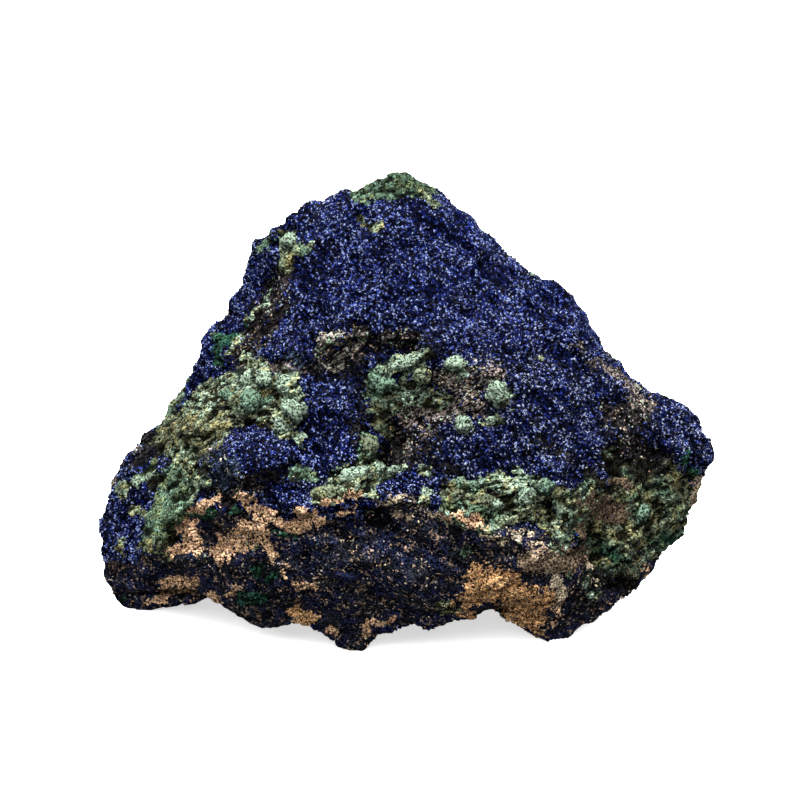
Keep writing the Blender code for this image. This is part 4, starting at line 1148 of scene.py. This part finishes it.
# ---------------------------------------------------------------------------------------------------
# THE MALACHITE BALLS. Round and kidney-shaped growths of malachite, 2 to 6 mm across, that sit in the
# hollow, on the ledge and on the left flank. Each is a ball with a pitted, wrinkled skin.
# ---------------------------------------------------------------------------------------------------
BALLS = [  # where its middle is on the chart, half width, half height, how far it leans in degrees, tint
    ((-3.6, 3.0), 2.7, 1.8, -10, "green"), ((2.2, 7.4), 3.9, 1.3, 18, "pale"),
    ((4.6, 4.6), 1.7, 1.7, 0, "yellow"), ((10.8, 6.9), 1.8, 1.6, 0, "pale"),
    ((12.2, 4.9), 0.9, 0.8, 0, "pale"), ((19.4, 0.9), 1.8, 2.6, 25, "pale"),
    ((12.7, -5.2), 1.5, 1.6, 0, "pale"), ((18.0, -3.9), 1.1, 0.8, 20, "pale"),
    ((-6.2, -9.8), 1.7, 2.2, 0, "olive"), ((-4.3, -5.0), 1.6, 1.3, 10, "yellow"),
    ((0.2, 1.2), 2.0, 1.2, 25, "pale"), ((8.2, 1.3), 1.5, 0.9, 20, "pale"),
    ((22.2, -2.0), 0.8, 0.6, 0, "pale"), ((-2.0, 0.2), 1.3, 0.9, 0, "yellow"),
    ((-20.6, -2.3), 2.3, 2.1, 0, "pale"), ((-23.0, -5.5), 1.7, 1.6, 0, "pale"),
    ((-19.4, -7.2), 1.3, 1.1, 0, "pale"), ((-29.0, -0.8), 2.3, 2.3, 0, "green"),
    ((-30.2, 3.4), 2.0, 1.8, 0, "pale"), ((-26.4, 3.9), 1.6, 1.6, 0, "pale"),
    ((-22.6, 2.6), 1.7, 1.8, 0, "pale"), ((-33.6, 0.6), 1.8, 1.4, 0, "green"),
    ((-25.6, -0.4), 1.4, 1.2, 0, "green"), ((-8.6, -15.2), 3.2, 1.8, 14, "pale"),
    ((-4.6, -14.0), 1.9, 1.2, 8, "pale"), ((-14.4, -18.0), 1.9, 1.4, 0, "yellow"),
    ((-0.7, -13.8), 1.2, 0.9, 0, "pale"), ((24.6, -19.4), 1.9, 2.4, -20, "pale"),
    ((18.2, -20.6), 2.0, 1.3, 0, "pale"), ((14.2, -16.6), 1.7, 1.2, 0, "green"),
    ((28.6, -17.2), 1.5, 1.4, 0, "green"), ((32.4, -23.6), 1.6, 3.9, 14, "pale"),
    ((5.2, -18.4), 1.3, 1.0, 0, "pale"), ((35.6, -17.8), 1.4, 1.6, 0, "green"),
    ((-21.6, 30.6), 1.6, 1.9, -20, "pale"), ((46.6, -22.0), 1.7, 2.0, 0, "green"),
]
BALL_SINK = 0.45  # how deep a ball's middle lies behind the crust, as a share of its half height
FRONT_DEPTH = 8.0  # balls sit on nothing that is further back than this
BALL_THICKNESS = 0.8  # its half depth, as a share of its smaller half size
# Painted light and shade: a ball is painted lighter on the side facing this way, where the light falls, and
# darker on the far side.
TOWARDS_LIGHT = np.array([[-0.2, -0.6, 0.75]])  # a ball's skin is paler on this side
SKIN = (0.26, 0.15)  # how deep the skin's broad dents and its wrinkles are, as a share of a ball's size


def seated_on_chart(place):
    """The point of the lump's front that lies nearest to a place on the chart, in the studio's frame."""
    off = np.linalg.norm(lump_chart - place, axis=1)
    off[smooth_lump[:, 1] > FRONT_DEPTH] = np.inf
    return lump_surface[off.argmin()]


_, lump_chart = sight_lines(smooth_lump)
ball, ball_quads = round_ball(10)
skins, furrows, sizes, seats, leans = [], [], [], [], []
for number, (place, half_width, half_height, lean, tint) in enumerate(BALLS):
    dents = SKIN[0] * fractal(ball + 5.0 * number, 0.9, 3, 2201)
    wrinkles = SKIN[1] * np.clip(worms(ball + 5.0 * number, 0.42, 2202), -1, 1)
    skins.append(ball * (1 + dents + wrinkles)[:, None])
    furrows.append(wrinkles / SKIN[1])
    sizes.append((half_width, BALL_THICKNESS * min(half_width, half_height), half_height))
    seats.append(seated_on_chart(np.array(place)) + (0, BALL_SINK * half_height, 0))
    leans.append(np.radians(lean))
leans = np.array(leans)
level, flat = np.cos(leans), np.zeros(len(leans))
ball_frames = np.stack([
    np.stack([level, flat, np.sin(leans)], axis=1), np.tile((0.0, 1.0, 0.0), (len(leans), 1)),
    np.stack([-np.sin(leans), flat, level], axis=1),
], axis=1)
points, faces = copies(np.stack(skins), ball_quads, np.array(seats), ball_frames, np.array(sizes))
balls = piece_of("malachite_balls", points, faces)
balls.data.shade_smooth()
ball_tints = 0.8 * np.array([TINTS[tint] for *_, tint in BALLS])
number_on_points(balls, "tint", np.repeat(ball_tints, len(ball), axis=0))
# Painted light and shade: the rise is how far the skin faces the light, higher on the wrinkles' ridges and
# lower in their furrows.
rise = (np.stack(skins) @ unit(TOWARDS_LIGHT).T)[..., 0] + 0.1 + 0.4 * np.stack(furrows)
number_on_points(balls, "rise", rise.ravel())
balls.data.materials.append(malachite_wart)
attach(balls, "root")

# ---------------------------------------------------------------------------------------------------
# THE CRUMBS. Loose-looking grains that are stuck fast: rusty limonite in the tan patches, pale and dark
# specks over the lower face, and grit in the matrix of the hollow. Angular, half a millimetre across.
# ---------------------------------------------------------------------------------------------------
crumbs, crumb_quads = dented_balls(cuts=1, kinds=8, dent=0.6, seed=3001)
rust_crumb = wart_material("rust_crumb", pit_size=0.4, painted_pit_shade=0.06, tip=1.5)
rusty = eased(quad_shares["limonite"], 0.42, 0.58) * (0.3 + 0.7 * front)
rust = grown(
    "limonite_crumbs", rusty, crumbs, crumb_quads, from_points(lump_tints["limonite"]), rust_crumb,
    spacing=0.42, most=5500, seed=3002, widths=(0.18, 0.42), heights=(0.18, 0.40), sink=0.2,
)

SPECKS = {"cream": 23, "tan": 9, "ash": 13, "pale": 3, "steel": 22, "ink": 30}  # parts in a hundred
GRIT = {"ash": 24, "umber": 10, "pale": 22, "cream": 12, "brown": 12, "ink": 20}
BUNCHED_SPECKS = 4  # the first kinds of specks lie in bunches, and the others everywhere


def mixture(parts, seed):
    """A random kind for each quad of the lump, by their parts in a hundred, and the kinds' tints."""
    share = np.array(list(parts.values())) / 100
    kinds = np.random.default_rng(seed).choice(len(parts), size=len(lump_quads), p=share)
    return kinds, np.array([TINTS[name] for name in parts])[kinds]


speck_kinds, speck_tints = mixture(SPECKS, 3009)
bunched = eased(fractal(quad_middle * (0.8, 0.8, 1.6), 3.2, 3, 3010), -0.1, 0.5)
speckled = np.maximum(eased(quad_shares["dark"], 0.5, 0.6), 0.7 * quad_shares["deep_shade"])
speckled *= np.where(speck_kinds < BUNCHED_SPECKS, bunched, 0.5) * (quad_middle[:, 2] > 1.5)
specks_piece = grown(
    "specks", speckled, crumbs, crumb_quads, speck_tints, rust_crumb,
    spacing=0.40, most=8800, seed=3011, widths=(0.12, 0.34), heights=(0.14, 0.30), sink=0.3,
)

_, grit_tints = mixture(GRIT, 3019)
in_hollow = 0.15 + 0.85 * (stroke_distance(quad_chart, (-6, 2), (12, 2)) < 13)
gritty = eased(quad_shares["matrix"], 0.5, 0.6) * (1 - eased(quad_shares["malachite"], 0.5, 0.6)) * front
gritty *= eased(fractal(quad_middle @ RUN_UP.T * STRAND_STRETCH, 2.4, 2, 3020), -0.2, 0.3) * in_hollow
grit = grown(
    "matrix_grit", gritty, crumbs, crumb_quads, grit_tints, rust_crumb,
    spacing=0.38, most=1500, seed=3021, widths=(0.14, 0.34), heights=(0.14, 0.30), sink=0.3,
)

# ---------------------------------------------------------------------------------------------------
# THE STUDIO. A plain white floor and backdrop. Narrow lights from above, the front and the sides light
# the specimen and leave out the floor. A very wide one lights only the floor, so the shadow is soft.
# ---------------------------------------------------------------------------------------------------
FLOOR_HALF = 3000.0
floor_points = np.array([(-1, -1, 0), (1, -1, 0), (1, 1, 0), (-1, 1, 0)], float) * FLOOR_HALF
floor = piece_of("floor", floor_points, np.array([(0, 1, 2, 3)]))
tree, shader, paper = new_material("white_paper")
shader.inputs["Base Color"].default_value = colour(0.6, 0.6, 0.6)
shader.inputs["Roughness"].default_value = 0.9
shader.inputs["Emission Color"].default_value = colour(1.0, 1.0, 1.0)
shader.inputs["Emission Strength"].default_value = 0.64
floor.data.materials.append(paper)
floor.visible_glossy = False
floor.visible_diffuse = False

SKY_LIGHT, GROUND_LIGHT = 0.13, 0.04  # soft light from above and from below; the backdrop shows white
world = bpy.data.worlds.new("studio")
bpy.context.scene.world = world
world.use_nodes = True
sky = world.node_tree
seen = add_node(sky, "ShaderNodeLightPath", {}).outputs["Is Camera Ray"]
direction = add_node(sky, "ShaderNodeTexCoord", {}).outputs["Generated"]
rise = add_node(sky, "ShaderNodeSeparateXYZ", {0: direction}).outputs["Z"]
soft = between(sky, rise, -0.15, 0.6, GROUND_LIGHT, SKY_LIGHT)
background = sky.nodes["Background"]
background.inputs["Color"].default_value = colour(1.0, 1.0, 1.0)
white = reckon(sky, "MULTIPLY", seen, 2.0)
sky.links.new(reckon(sky, "MAXIMUM", soft, white), background.inputs["Strength"])

TARGET = np.array(CHART_MIDDLE) - BOX_MIDDLE  # the camera stands where the chart's eye is
VIEW_WIDTH = 800 / 5.125  # millimetres across the picture: its pixels, by the pixels to a millimetre


def aimed(thing, place, target):
    """Puts a light or the camera at place, pointing at target, both in millimetres."""
    place, target = Vector(place) * MM, Vector(target) * MM
    thing.location = place
    thing.rotation_euler = (target - place).to_track_quat("-Z", "Y").to_euler()
    bpy.context.scene.collection.objects.link(thing)


LIGHTS = {  # place that it shines from, width in degrees, strength, and whether it lights the floor
    "key": ((-30, -165, 600), 8.0, 3.9, "EXCLUDE"),
    "front": ((-90, -520, 290), 10.0, 1.3, "EXCLUDE"),
    "side": ((360, -200, 420), 10.0, 0.9, "EXCLUDE"),
    "edge": ((-60, 260, 520), 30.0, 1.0, "EXCLUDE"),
    "floor_light": ((-20, -60, 600), 120.0, 22.0, "INCLUDE"),
}
for name, (place, width, strength, floor_state) in LIGHTS.items():
    light = bpy.data.lights.new(name, "SUN")
    light.angle = np.radians(width)
    light.energy = strength
    lamp = bpy.data.objects.new(name, light)
    aimed(lamp, place, TARGET)
    receivers = bpy.data.collections.new(name + "_receivers")
    receivers.objects.link(floor)
    receivers.collection_objects[0].light_linking.link_state = floor_state
    lamp.light_linking.receiver_collection = receivers

camera = bpy.data.objects.new("camera", bpy.data.cameras.new("camera"))
camera.data.sensor_width = 36.0
camera.data.lens = camera.data.sensor_width * CHART_DISTANCE / VIEW_WIDTH
camera.data.clip_start = 0.01
back = np.array([0.0, -np.cos(CHART_TILT), np.sin(CHART_TILT)])
aimed(camera, TARGET + CHART_DISTANCE * back, TARGET)
bpy.context.scene.camera = camera
bpy.context.scene.view_settings.view_transform = "Standard"
